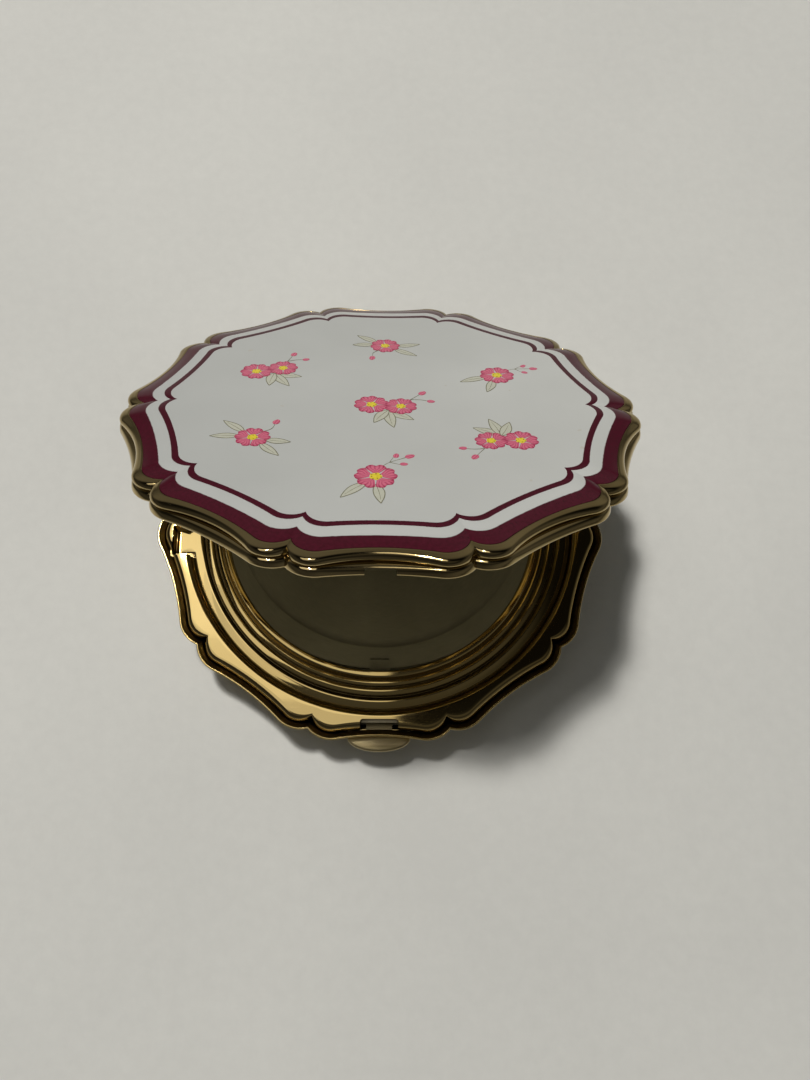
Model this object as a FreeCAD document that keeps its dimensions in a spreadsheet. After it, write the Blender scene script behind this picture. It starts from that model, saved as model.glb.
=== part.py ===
import FreeCAD, Part
import math
import os

# A folding pocket mirror in a scalloped metal case.  The base holds a round
# mirror in a grooved ring, the lid carries a decorated plaque, a barrel hinge
# joins them at the back and a sprung push catch holds them shut at the front.
# Frame: millimetres, +Z up, X along the hinge pin, catch at -Y, origin at the
# middle of the flat underside.  The case is modelled with its lid part open.

V = FreeCAD.Vector
doc = FreeCAD.newDocument("folding_mirror")

# ---------------------------------------------------------------- dimensions
sheet = doc.addObject("Spreadsheet::Sheet", "dims")
sheet.Label = "dims"

DIMS = [
    # outline of the case: ten lobes, each with a hollow middle, two rounded
    # shoulders and a sharp notch at either end
    ("lobe_count", 10),
    ("shoulder_angle", 13.4),
    # base shell
    ("rim_z", 8.5),
    ("rim_mid", 37.5),
    ("rim_shoulder", 39.1),
    ("rim_notch", 38.2),
    ("rim_flare", 0.3),
    ("shell_wall", 0.6),
    ("foot_radius", 27.0),
    # base frame (the plate around the mirror ring)
    ("frame_top_z", 9.3),
    ("frame_thick", 0.6),
    ("frame_mid", 36.46),
    ("frame_shoulder", 37.95),
    ("frame_notch", 36.5),
    ("frame_skirt_z", 7.25),
    ("frame_skirt_wall", 0.5),
    ("frame_hole_r", 34.0),
    ("frame_lip_r", 34.5),
    ("ledge_r", 32.6),
    ("ledge_bottom_z", 6.65),
    ("ledge_top_z", 7.15),
    ("slot_half", 3.25),
    ("slot_back_y", -35.1),
    ("key_front_y", -6.85),
    ("key_back_y", -1.5),
    ("key_outer_x", -36.5),
    ("key_wall", 0.25),
    # mirror ring, a revolved section (radius and height pairs) and its key tab with a rolled end
    ("ring_a_r", 33.2), ("ring_a_z", 7.15),
    ("ring_b_r", 33.2), ("ring_b_z", 7.47),
    ("ring_c_r", 31.93), ("ring_c_z", 7.66),
    ("ring_d_r", 31.2), ("ring_d_z", 7.3),
    ("ring_e_r", 30.94), ("ring_e_z", 7.61),
    ("ring_f_r", 30.16), ("ring_f_z", 7.75),
    ("ring_g_r", 29.58), ("ring_g_z", 7.46),
    ("ring_h_r", 29.38), ("ring_h_z", 7.74),
    ("ring_i_r", 28.74), ("ring_i_z", 7.85),
    ("ring_j_r", 28.48), ("ring_j_z", 7.75),
    ("ring_k_r", 27.55), ("ring_k_z", 8.75),
    ("ring_l_r", 26.85), ("ring_l_z", 8.45),
    ("ring_m_r", 26.85), ("ring_m_z", 8.25),
    ("ring_n_r", 27.7), ("ring_n_z", 8.25),
    ("ring_o_r", 27.7), ("ring_o_z", 6.95),
    ("ring_p_r", 32.3), ("ring_p_z", 6.95),
    ("ring_q_r", 32.45), ("ring_q_z", 7.15),
    ("tab_outer_x", -35.0),
    ("tab_inner_x", -32.8),
    ("tab_front_y", -5.95),
    ("tab_back_y", -2.1),
    ("tab_roll_x", -35.85),
    ("tab_roll_z", 7.6),
    ("tab_roll_r", 0.38),
    ("tab_web_top_z", 7.4),
    # mirror, its backing card and the plate that closes the ring from below
    ("mirror_r", 27.6),
    ("mirror_bottom_z", 7.2),
    ("mirror_thick", 1.0),
    ("card_bottom_z", 6.95),
    ("card_thick", 0.25),
    ("back_plate_r", 28.75),
    ("back_plate_bottom_z", 6.5),
    ("back_plate_thick", 0.42),
    # hinge
    ("hinge_y", 39.3),
    ("hinge_z", 6.3),
    ("open_angle", 35.8),
    ("pin_r", 0.5),
    ("pin_half", 7.15),
    ("knuckle_r", 1.15),
    ("base_bore_r", 0.53),
    ("lid_bore_r", 0.55),
    ("lid_knuckle_half", 2.4),
    ("base_knuckle_in", 2.6),
    ("base_knuckle_out", 7.2),
    ("leaf_thick", 0.4),
    ("base_leaf_y", 35.7),
    ("base_leaf_top_z", 6.7),
    ("base_leaf_half", 9.2),
    ("lid_leaf_y", 35.9),
    ("lid_leaf_step_z", 8.6),
    ("lid_leaf_top_z", 10.3),
    ("hinge_gap_half", 7.6),
    ("hinge_gap_z", 5.0),
    # lid
    ("lip_z", 8.75),
    ("lid_top_z", 11.45),
    ("lid_wall", 0.85),
    ("lid_ceiling_z", 10.6),
    ("plaque_seat_z", 11.0),
    ("plaque_top_z", 12.15),
    ("plaque_edge_z", 11.3),
    ("plaque_mid", 36.55),
    ("plaque_shoulder", 38.4),
    ("plaque_notch", 36.6),
    ("brow_mid", 34.9),
    ("brow_shoulder", 36.2),
    ("brow_notch", 34.85),
    ("brow_z", 11.85),
    ("crown_mid", 32.05),
    ("crown_shoulder", 33.26),
    ("crown_notch", 31.8),
    ("plaque_thick", 0.45),
    ("lip_cut_half", 2.1),
    ("lip_cut_top_z", 9.6),
    ("liner_zero", 0.0),
    ("liner_rim_r", 35.5),
    ("liner_rim_in_r", 35.0),
    ("liner_rim_z", 9.65),
    ("liner_top_z", 10.58),
    ("liner_flat_z", 10.35),
    ("liner_step_r", 30.0),
    ("liner_step_in_r", 29.0),
    ("liner_floor_z", 10.05),
    ("liner_floor_top_z", 10.3),
    # catch: thumb piece, slide, bow spring, guide and strap, lid hook
    ("catch_travel", 0.8),
    ("button_front_y", -40.2),
    ("button_back_y", -36.6),
    ("button_half", 5.25),
    ("button_round", 2.2),
    ("button_bottom_z", 5.9),
    ("button_top_z", 6.9),
    ("stem_half", 2.2),
    ("stem_back_y", -33.2),
    ("slide_half", 4.0),
    ("slide_front_y", -35.6),
    ("slide_back_y", -30.0),
    ("slide_bottom_z", 5.35),
    ("slide_top_z", 5.95),
    ("stem_top_z", 6.35),
    ("nose_half", 3.0),
    ("nose_front_y", -35.6),
    ("nose_bottom_z", 7.9),
    ("nose_top_z", 8.4),
    ("upright_front_y", -35.05),
    ("upright_back_y", -34.7),
    ("bridge_half", 2.4),
    ("bridge_top_z", 6.5),
    ("rivet_r", 0.4),
    ("button_rivet_x", 1.2),
    ("button_rivet_y", -34.0),
    ("window_half", 5.8),
    ("window_bottom_z", 5.6),
    ("window_top_z", 7.2),
    ("guide_half", 5.2),
    ("guide_cheek_in", 4.3),
    ("guide_front_y", -34.4),
    ("guide_back_y", -26.9),
    ("guide_wall_y", -27.9),
    ("guide_plate_z", 4.6),
    ("guide_floor_z", 5.1),
    ("guide_top_z", 6.05),
    ("guide_foot_half", 3.0),
    ("guide_foot_z", 0.8),
    ("strap_front_y", -32.1),
    ("strap_top_z", 6.35),
    ("strap_rivet_x", 4.75),
    ("strap_rivet_y", -30.0),
    ("strap_rivet_r", 0.3),
    ("spring_thick", 0.2),
    ("spring_half", 3.7),
    ("spring_bottom_z", 5.4),
    ("spring_high", 0.5),
    ("hook_half", 2.0),
    ("hook_front_y", -36.25),
    ("hook_back_y", -35.9),
    ("hook_lip_y", -35.25),
    ("hook_lip_bottom_z", 7.35),
    ("hook_lip_top_z", 7.75),
    ("hook_flange_bottom_z", 9.9),
    ("hook_flange_top_z", 10.3),
    ("hook_flange_y", -32.6),
    ("hook_rivet_x", 1.2),
    ("hook_rivet_y", -33.6),
]
for row, (name, value) in enumerate(DIMS, start=1):
    sheet.set("A%d" % row, name)
    sheet.set("B%d" % row, str(value))
    sheet.setAlias("B%d" % row, name)
doc.recompute()


def dim(name):
    return float(sheet.get(name))


PIECES = []


def keep(obj, label, place=None):
    obj.Label = label
    PIECES.append((obj, label, place))
    return obj


# ----------------------------------------------------------- helper features
def box(name, x0, x1, y0, y1, z0, z1):
    """Box between two corners; every value is an expression on the sheet."""
    b = doc.addObject("Part::Box", name)
    b.setExpression("Length", "(%s) - (%s)" % (x1, x0))
    b.setExpression("Width", "(%s) - (%s)" % (y1, y0))
    b.setExpression("Height", "(%s) - (%s)" % (z1, z0))
    b.setExpression("Placement.Base.x", x0)
    b.setExpression("Placement.Base.y", y0)
    b.setExpression("Placement.Base.z", z0)
    return b


def cyl_z(name, r, x, y, z0, z1):
    c = doc.addObject("Part::Cylinder", name)
    c.setExpression("Radius", r)
    c.setExpression("Height", "(%s) - (%s)" % (z1, z0))
    c.setExpression("Placement.Base.x", x)
    c.setExpression("Placement.Base.y", y)
    c.setExpression("Placement.Base.z", z0)
    return c


def cyl_x(name, r, x0, x1, y, z):
    c = doc.addObject("Part::Cylinder", name)
    c.Placement = FreeCAD.Placement(V(0, 0, 0), FreeCAD.Rotation(V(0, 1, 0), 90))
    c.setExpression("Radius", r)
    c.setExpression("Height", "(%s) - (%s)" % (x1, x0))
    c.setExpression("Placement.Base.x", x0)
    c.setExpression("Placement.Base.y", y)
    c.setExpression("Placement.Base.z", z)
    return c


def cyl_y(name, r, y0, y1, x, z):
    c = doc.addObject("Part::Cylinder", name)
    c.Placement = FreeCAD.Placement(V(0, 0, 0), FreeCAD.Rotation(V(1, 0, 0), -90))
    c.setExpression("Radius", r)
    c.setExpression("Height", "(%s) - (%s)" % (y1, y0))
    c.setExpression("Placement.Base.x", x)
    c.setExpression("Placement.Base.y", y0)
    c.setExpression("Placement.Base.z", z)
    return c


def fuse(name, parts):
    f = doc.addObject("Part::MultiFuse", name)
    f.Shapes = parts
    f.Refine = True
    return f


def cut(name, base, tool):
    c = doc.addObject("Part::Cut", name)
    c.Base = base
    c.Tool = tool
    return c


def group(name, parts):
    g = doc.addObject("Part::Compound", name)
    g.Links = parts
    return g


def plane_of(body, role):
    for f in body.Origin.OriginFeatures:
        if f.Role == role:
            return f
    raise RuntimeError("no plane " + role)


def section(body, name, role, points):
    """Closed polygon sketch; each corner is a pair of sheet names."""
    import Sketcher
    sk = body.newObject("Sketcher::SketchObject", name)
    sk.AttachmentSupport = [(plane_of(body, role), "")]
    sk.MapMode = "FlatFace"
    xy = [V(dim(a), dim(b), 0) for a, b in points]
    n = len(xy)
    for i in range(n):
        sk.addGeometry(Part.LineSegment(xy[i], xy[(i + 1) % n]), False)
    for i in range(n):
        sk.addConstraint(Sketcher.Constraint("Coincident", i, 2, (i + 1) % n, 1))
    for i, (a, b) in enumerate(points):
        c = sk.addConstraint(Sketcher.Constraint("DistanceX", -1, 1, i, 1, xy[i].x))
        sk.setExpression("Constraints[%d]" % c, "dims." + a)
        c = sk.addConstraint(Sketcher.Constraint("DistanceY", -1, 1, i, 1, xy[i].y))
        sk.setExpression("Constraints[%d]" % c, "dims." + b)
    return sk


def turned(label, points):
    body = doc.addObject("PartDesign::Body", label + "_body")
    sk = section(body, label + "_section", "XZ_Plane", points)
    doc.recompute()
    rev = body.newObject("PartDesign::Revolution", label + "_turn")
    rev.Profile = sk
    rev.ReferenceAxis = (sk, ["V_Axis"])
    rev.Angle = 360.0
    doc.recompute()
    return body


# ------------------------------------------------------- the scalloped outline
LOBES = int(dim("lobe_count"))
STEP = 360.0 / LOBES
A_S = math.radians(dim("shoulder_angle"))


def polar(r, deg, z):
    a = math.radians(deg)
    return V(r * math.cos(a), r * math.sin(a), z)


def lobe(mid, shoulder, notch):
    """Point where the shoulder circle runs smoothly into the arc of the lobe's
    middle, as (radius, angle from the lobe's axis in degrees)."""
    c = math.cos(math.radians(STEP / 2) - A_S)
    rho = (shoulder ** 2 + notch ** 2 - 2 * shoulder * notch * c) / (2 * (shoulder - notch * c))
    cx, cy = (shoulder - rho) * math.cos(A_S), (shoulder - rho) * math.sin(A_S)
    e = mid - rho
    if abs(cx - e) < 1e-4:
        return mid, 10.0
    d = (cx * cx + cy * cy - e * e) / (2 * (cx - e))
    far = math.hypot(d - cx, cy)
    s = 1.0 if d > mid else -1.0
    px, py = cx + s * rho * (d - cx) / far, cy - s * rho * cy / far
    return math.hypot(px, py), math.degrees(math.atan2(py, px))


def outline(mid, shoulder, notch, z):
    """Closed wire of ten lobes from the three radii, one lobe centred at -Y."""
    flank, a_p = lobe(mid, shoulder, notch)
    a_s = dim("shoulder_angle")
    edges = []
    for k in range(LOBES):
        c = -90.0 + STEP * k
        n0, s0, p0 = (polar(notch, c - STEP / 2, z), polar(shoulder, c - a_s, z),
                      polar(flank, c - a_p, z))
        m = polar(mid, c, z)
        p1, s1, n1 = (polar(flank, c + a_p, z), polar(shoulder, c + a_s, z),
                      polar(notch, c + STEP / 2, z))
        edges.append(Part.Arc(n0, s0, p0).toShape())
        edges.append(Part.Arc(p0, m, p1).toShape())
        edges.append(Part.Arc(p1, s1, n1).toShape())
    return Part.Wire(edges)


def inset(radii, w):
    """Radii of the outline moved in by w; a notch tip moves further in."""
    return (radii[0] - w, radii[1] - w, radii[2] - 1.44 * w)


def stack(levels):
    """Solid with straight walls between outlines given as (z, radii)."""
    wires = [outline(r[0], r[1], r[2], z) for z, r in levels]
    return Part.makeLoft(wires, True, True)


def block(x0, x1, y0, y1, z0, z1):
    return Part.makeBox(x1 - x0, y1 - y0, z1 - z0, V(x0, y0, z0))


def feature(label, shape, place=None):
    f = doc.addObject("Part::Feature", label)
    f.Shape = shape
    return keep(f, label, place)


lid_place = FreeCAD.Placement(
    V(0, 0, 0),
    FreeCAD.Rotation(V(1, 0, 0), -dim("open_angle")),
    V(0, dim("hinge_y"), dim("hinge_z")),
)

# ---------------------------------------------------------------- base shell
# a pressed dish: a flat round foot, walls that swell outward and take up the
# ten flutes as they rise to the rim, which flares out a little at the top
RIM = (dim("rim_mid"), dim("rim_shoulder"), dim("rim_notch"))
RIM_MEAN = 38.3


def fluted(radius, share):
    return tuple(radius + share * (r - RIM_MEAN) for r in RIM)


foot = dim("foot_radius")
rim_z = dim("rim_z")
wall = dim("shell_wall")
outer_levels = [(0.0, fluted(foot, 0.0)), (0.35, fluted(29.6, 0.05)),
                (1.3, fluted(33.0, 0.25)), (3.2, fluted(36.0, 0.6)),
                (5.6, fluted(37.6, 0.9)), (7.9, fluted(38.05, 1.0)),
                (rim_z, tuple(r + dim("rim_flare") for r in RIM))]
inner_levels = [(wall, fluted(foot - 0.1, 0.0)), (0.95, fluted(29.2, 0.05)),
                (1.8, fluted(32.4, 0.25)), (3.45, fluted(35.35, 0.6)),
                (5.7, fluted(36.95, 0.9)), (7.9, fluted(37.42, 1.0)),
                (rim_z + 0.5, fluted(37.75 + 1.8 * dim("rim_flare"), 1.0))]
shell = stack(outer_levels).cut(stack(inner_levels))
# window for the thumb piece in the front wall, gap for the hinge in the back
shell = shell.cut(block(-dim("window_half"), dim("window_half"), -45, -30,
                        dim("window_bottom_z"), dim("window_top_z")))
shell = shell.cut(block(-dim("hinge_gap_half"), dim("hinge_gap_half"), 34.6, 45,
                        dim("hinge_gap_z"), rim_z + 1))
feature("base_shell", shell)

# ---------------------------------------------------------------- base frame
# scalloped plate with a short skirt that is pressed into the shell, a round
# hole with a turned-down lip, and a ledge inside that carries the mirror ring
FRAME = (dim("frame_mid"), dim("frame_shoulder"), dim("frame_notch"))
top_z, skirt_z = dim("frame_top_z"), dim("frame_skirt_z")
under_z = top_z - dim("frame_thick")
soft = inset(FRAME, 0.5)
body_f = stack([(skirt_z, FRAME), (top_z - 0.4, FRAME), (top_z, soft)])
hollow = stack([(skirt_z - 1, inset(FRAME, dim("frame_skirt_wall"))),
                (under_z, inset(FRAME, dim("frame_skirt_wall")))])
frame = body_f.cut(hollow)
frame = frame.cut(Part.makeCylinder(dim("frame_hole_r"), 5, V(0, 0, 6.0)))
lip_tube = Part.makeCylinder(dim("frame_lip_r"), under_z + 0.1 - dim("ledge_bottom_z"),
                             V(0, 0, dim("ledge_bottom_z")))
lip_tube = lip_tube.cut(Part.makeCylinder(dim("frame_hole_r"), 5, V(0, 0, dim("ledge_top_z"))))
lip_tube = lip_tube.cut(Part.makeCylinder(dim("ledge_r"), 5, V(0, 0, 6.0)))
frame = frame.fuse(lip_tube).removeSplitter()
# catch slot, open at the front edge
sh = dim("slot_half")
frame = frame.cut(block(-sh, sh, -45, dim("slot_back_y"), 5, 12))
# room under the bridge for the catch nose when it is pressed in
frame = frame.cut(block(-sh, sh, -45, -33.0, 5, under_z))
# key notch at the left, a pocket with thin walls and a floor
kw = dim("key_wall")
pocket = block(dim("key_outer_x") - kw, -33.9, dim("key_front_y") - kw, dim("key_back_y") + kw,
               dim("ledge_bottom_z"), under_z + 0.1)
pocket = pocket.common(stack([(6.0, FRAME), (top_z, FRAME)]))
pocket = pocket.cut(Part.makeCylinder(dim("frame_hole_r"), 5, V(0, 0, dim("ledge_top_z"))))
frame = frame.fuse(pocket).removeSplitter()
frame = frame.cut(block(dim("key_outer_x"), -31.0, dim("key_front_y"), dim("key_back_y"),
                        dim("ledge_top_z"), 12))
# clear of the hinge leaves at the back
g = dim("hinge_gap_half")
frame = frame.cut(block(-g, g, 35.4, 45, 5, 12))
feature("base_frame", frame.removeSplitter())

# --------------------------------------------------------------- mirror ring
ring_points = [("ring_%s_r" % c, "ring_%s_z" % c) for c in "abcdefghijklmnopq"]
ring = turned("ring", ring_points)
tab = box("ring_tab", "dims.tab_outer_x", "dims.tab_inner_x", "dims.tab_front_y",
          "dims.tab_back_y", "dims.ring_a_z", "dims.ring_b_z")
web = box("ring_tab_web", "dims.tab_roll_x", "dims.tab_outer_x + 0.2", "dims.tab_front_y",
          "dims.tab_back_y", "dims.tab_roll_z - dims.tab_roll_r", "dims.tab_web_top_z")
roll = cyl_y("ring_tab_roll", "dims.tab_roll_r", "dims.tab_front_y", "dims.tab_back_y",
             "dims.tab_roll_x", "dims.tab_roll_z")
keep(fuse("ring_whole", [ring, tab, web, roll]), "mirror_ring")

mirror = cyl_z("mirror_disc", "dims.mirror_r", "0", "0", "dims.mirror_bottom_z",
               "dims.mirror_bottom_z + dims.mirror_thick")
keep(mirror, "mirror_glass")
card = cyl_z("card_disc", "dims.mirror_r", "0", "0", "dims.card_bottom_z",
             "dims.card_bottom_z + dims.card_thick")
keep(card, "mirror_backing_card")
back = cyl_z("back_disc", "dims.back_plate_r", "0", "0", "dims.back_plate_bottom_z",
             "dims.back_plate_bottom_z + dims.back_plate_thick")
keep(back, "mirror_back_plate")

# --------------------------------------------------------------------- hinge
keep(cyl_x("pin", "dims.pin_r", "-dims.pin_half", "dims.pin_half", "dims.hinge_y",
           "dims.hinge_z"), "hinge_pin")

base_leaf = fuse("base_leaf_solid", [
    cyl_x("base_knuckle_l", "dims.knuckle_r", "-dims.base_knuckle_out", "-dims.base_knuckle_in",
          "dims.hinge_y", "dims.hinge_z"),
    cyl_x("base_knuckle_r", "dims.knuckle_r", "dims.base_knuckle_in", "dims.base_knuckle_out",
          "dims.hinge_y", "dims.hinge_z"),
    box("base_strip_l", "-dims.base_knuckle_out", "-dims.base_knuckle_in", "dims.base_leaf_y",
        "dims.hinge_y", "dims.hinge_z - dims.knuckle_r",
        "dims.hinge_z - dims.knuckle_r + dims.leaf_thick"),
    box("base_strip_r", "dims.base_knuckle_in", "dims.base_knuckle_out", "dims.base_leaf_y",
        "dims.hinge_y", "dims.hinge_z - dims.knuckle_r",
        "dims.hinge_z - dims.knuckle_r + dims.leaf_thick"),
    box("base_flange", "-dims.base_knuckle_out", "dims.base_knuckle_out", "dims.base_leaf_y",
        "dims.base_leaf_y + dims.leaf_thick", "dims.hinge_z - dims.knuckle_r",
        "dims.base_leaf_top_z"),
    box("base_wings", "-dims.base_leaf_half", "dims.base_leaf_half", "dims.base_leaf_y",
        "dims.base_leaf_y + dims.leaf_thick", "dims.hinge_z - 0.2", "dims.base_leaf_top_z"),
])
base_bore = cyl_x("base_bore", "dims.base_bore_r", "-dims.base_knuckle_out - 1",
                  "dims.base_knuckle_out + 1", "dims.hinge_y", "dims.hinge_z")
keep(cut("base_leaf_bored", base_leaf, base_bore), "base_hinge_leaf")

lid_leaf = fuse("lid_leaf_solid", [
    cyl_x("lid_knuckle", "dims.knuckle_r", "-dims.lid_knuckle_half", "dims.lid_knuckle_half",
          "dims.hinge_y", "dims.hinge_z"),
    box("lid_strip", "-dims.lid_knuckle_half", "dims.lid_knuckle_half", "dims.lid_leaf_y",
        "dims.hinge_y", "dims.hinge_z + dims.knuckle_r - dims.leaf_thick",
        "dims.hinge_z + dims.knuckle_r"),
    box("lid_riser", "-dims.lid_knuckle_half", "dims.lid_knuckle_half", "dims.lid_leaf_y",
        "dims.lid_leaf_y + dims.leaf_thick", "dims.hinge_z + dims.knuckle_r - dims.leaf_thick",
        "dims.lid_leaf_top_z"),
    box("lid_flange", "-dims.base_knuckle_out", "dims.base_knuckle_out", "dims.lid_leaf_y",
        "dims.lid_leaf_y + dims.leaf_thick", "dims.lid_leaf_step_z", "dims.lid_leaf_top_z"),
])
lid_bore = cyl_x("lid_bore", "dims.lid_bore_r", "-dims.lid_knuckle_half - 1",
                 "dims.lid_knuckle_half + 1", "dims.hinge_y", "dims.hinge_z")
keep(cut("lid_leaf_bored", lid_leaf, lid_bore), "lid_hinge_leaf", lid_place)

# ----------------------------------------------------------------- lid shell
# fluted side: plain lip, groove and a rounded bead, and a seat for the plaque
LIP = (38.9, 40.5, 39.4)
LOW = (38.8, 40.45, 39.35)
GROOVE = (37.75, 39.95, 38.6)
BEAD_A = (37.95, 40.35, 38.75)
BEAD_B = (37.6, 39.9, 38.3)
EDGE = (36.75, 38.7, 36.95)
lip_z, lid_top = dim("lip_z"), dim("lid_top_z")
w = dim("lid_wall")
lid_outer = stack([(lip_z, LIP), (9.4, LOW), (9.95, GROOVE), (10.45, BEAD_A),
                   (11.0, BEAD_B), (lid_top, EDGE)])
lid_inner = stack([(lip_z - 1, inset(LIP, w)), (lip_z, inset(LIP, w)), (9.4, inset(LOW, w)),
                   (9.95, inset(GROOVE, w)), (dim("lid_ceiling_z"), inset(GROOVE, w + 0.2))])
lid = lid_outer.cut(lid_inner)
PLAQUE = (dim("plaque_mid"), dim("plaque_shoulder"), dim("plaque_notch"))
seat = inset(PLAQUE, -0.04)
lid = lid.cut(stack([(dim("plaque_seat_z"), seat), (lid_top + 1, seat)]))
lid = lid.cut(block(-dim("lip_cut_half"), dim("lip_cut_half"), -45, -35.0, lip_z - 1,
                    dim("lip_cut_top_z")))
feature("lid_shell", lid, lid_place)

# -------------------------------------------------------------------- plaque
brow = (dim("brow_mid"), dim("brow_shoulder"), dim("brow_notch"))
crown = (dim("crown_mid"), dim("crown_shoulder"), dim("crown_notch"))
pt = dim("plaque_thick")
edge_z, brow_z, crown_z = dim("plaque_edge_z"), dim("brow_z"), dim("plaque_top_z")
plaque = stack([(dim("plaque_seat_z") + 0.02, PLAQUE), (edge_z, PLAQUE), (brow_z, brow),
                (crown_z, crown)])
# pressed from thin sheet, so it is hollow underneath
under = stack([(dim("plaque_seat_z") - 1, inset(PLAQUE, pt)),
               (edge_z - 0.15, inset(PLAQUE, pt)),
               (brow_z - pt, inset(brow, 0.15)),
               (crown_z - pt, crown)])
feature("enamel_plaque", plaque.cut(under), lid_place)

# ----------------------------------------------------------------- lid liner
liner = turned("liner", [
    ("liner_zero", "liner_floor_z"), ("liner_step_in_r", "liner_floor_z"),
    ("liner_step_r", "liner_flat_z"), ("liner_rim_in_r", "liner_flat_z"),
    ("liner_rim_in_r", "liner_rim_z"), ("liner_rim_r", "liner_rim_z"),
    ("liner_rim_r", "liner_top_z"), ("liner_step_in_r", "liner_top_z"),
    ("liner_step_in_r", "liner_floor_top_z"), ("liner_zero", "liner_floor_top_z"),
])
# gap in the liner's rim where the hook passes
liner_gap = box("liner_gap", "-dims.hook_half - 0.3", "dims.hook_half + 0.3", "-dims.liner_rim_r - 2",
                "-dims.liner_rim_in_r + 0.3", "dims.liner_rim_z - 1", "dims.liner_flat_z")
keep(cut("liner_notched", liner, liner_gap), "lid_liner", lid_place)

# ------------------------------------------------------------------ lid hook
hook = fuse("hook_solid", [
    box("hook_tongue", "-dims.hook_half", "dims.hook_half", "dims.hook_front_y",
        "dims.hook_back_y", "dims.hook_lip_bottom_z", "dims.hook_flange_top_z"),
    box("hook_lip", "-dims.hook_half", "dims.hook_half", "dims.hook_front_y",
        "dims.hook_lip_y", "dims.hook_lip_bottom_z", "dims.hook_lip_top_z"),
    box("hook_flange", "-dims.hook_half", "dims.hook_half", "dims.hook_front_y",
        "dims.hook_flange_y", "dims.hook_flange_bottom_z", "dims.hook_flange_top_z"),
])
hook_holes = group("hook_holes", [
    cyl_z("hook_hole_%d" % i, "dims.rivet_r", "%d * dims.hook_rivet_x" % s, "dims.hook_rivet_y",
          "dims.hook_flange_bottom_z - 1", "dims.hook_flange_top_z + 1")
    for i, s in enumerate((-1, 1))])
keep(cut("hook_bored", hook, hook_holes), "lid_catch_hook", lid_place)
hook_rivets = group("hook_rivet_pair", [
    cyl_z("hook_rivet_%d" % i, "dims.rivet_r - 0.02", "%d * dims.hook_rivet_x" % s,
          "dims.hook_rivet_y", "dims.hook_flange_bottom_z - 0.1", "dims.liner_flat_z")
    for i, s in enumerate((-1, 1))])
keep(hook_rivets, "hook_rivets", lid_place)

# --------------------------------------------------------------------- catch
# thumb piece: a flat piece with an oval front outside the wall and a narrow
# stem inside
oval_line = doc.addObject("Part::Ellipse", "button_oval_line")
oval_line.setExpression("MajorRadius", "dims.button_half")
oval_line.setExpression("MinorRadius", "dims.button_round")
oval_line.setExpression("Placement.Base.y", "dims.button_front_y + dims.button_round")
oval_line.setExpression("Placement.Base.z", "dims.button_bottom_z")
oval = doc.addObject("Part::Extrusion", "button_oval")
oval.Base = oval_line
oval.DirMode = "Custom"
oval.Dir = V(0, 0, 1)
oval.Solid = True
oval.setExpression("LengthFwd", "dims.button_top_z - dims.button_bottom_z")
limit = box("button_limit", "-dims.button_half - 1", "dims.button_half + 1", "dims.button_front_y - 1",
            "dims.button_front_y + dims.button_round", "dims.button_bottom_z", "dims.button_top_z")
front_half = doc.addObject("Part::Common", "button_front")
front_half.Base, front_half.Tool = oval, limit
rear_half = box("button_rear", "-dims.button_half", "dims.button_half", "dims.button_front_y + dims.button_round",
                "dims.button_back_y", "dims.button_bottom_z", "dims.button_top_z")
segment = fuse("button_segment", [front_half, rear_half])
doc.recompute()
rim_edges = [i + 1 for i, e in enumerate(segment.Shape.Edges)
             if abs(e.BoundBox.ZLength) < 1e-6 and e.BoundBox.YMin < dim("button_front_y") + 0.2]
rounded = doc.addObject("Part::Fillet", "button_rounded")
rounded.Base = segment
rounded.Edges = [(i, 0.25, 0.25) for i in rim_edges]
stem = box("button_stem", "-dims.stem_half", "dims.stem_half", "dims.button_back_y - 0.5",
           "dims.stem_back_y", "dims.slide_top_z", "dims.stem_top_z")
rivet_at = [("%d * dims.button_rivet_x" % s, "dims.button_rivet_y") for s in (-1, 1)]
stem_holes = group("stem_holes", [
    cyl_z("stem_hole_%d" % i, "dims.rivet_r", x, y, "dims.slide_bottom_z - 1", "dims.stem_top_z + 1")
    for i, (x, y) in enumerate(rivet_at)])
keep(cut("button_bored", fuse("button_whole", [rounded, stem]), stem_holes), "thumb_button")

# slide: flat plate with an upright at the front that carries the catch nose
slide = fuse("slide_solid", [
    box("slide_plate", "-dims.slide_half", "dims.slide_half", "dims.slide_front_y",
        "dims.slide_back_y", "dims.slide_bottom_z", "dims.slide_top_z"),
    box("slide_upright", "-dims.nose_half", "dims.nose_half", "dims.upright_front_y",
        "dims.upright_back_y", "dims.slide_bottom_z", "dims.nose_top_z"),
    box("slide_nose", "-dims.nose_half", "dims.nose_half", "dims.nose_front_y",
        "dims.upright_back_y", "dims.nose_bottom_z", "dims.nose_top_z"),
])
bridge = box("slide_bridge", "-dims.bridge_half", "dims.bridge_half", "dims.upright_front_y - 0.1",
             "dims.upright_back_y + 0.1", "dims.slide_top_z", "dims.bridge_top_z")
slide_holes = group("slide_holes", [
    cyl_z("slide_hole_%d" % i, "dims.rivet_r", x, y, "dims.slide_bottom_z - 1", "dims.stem_top_z + 1")
    for i, (x, y) in enumerate(rivet_at)])
keep(cut("slide_bored", cut("slide_bridged", slide, bridge), slide_holes), "catch_slide")

button_rivets = group("button_rivet_pair", [
    cyl_z("button_rivet_%d" % i, "dims.rivet_r - 0.02", x, y, "dims.slide_bottom_z",
          "dims.stem_top_z")
    for i, (x, y) in enumerate(rivet_at)])
keep(button_rivets, "button_rivets")

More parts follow.
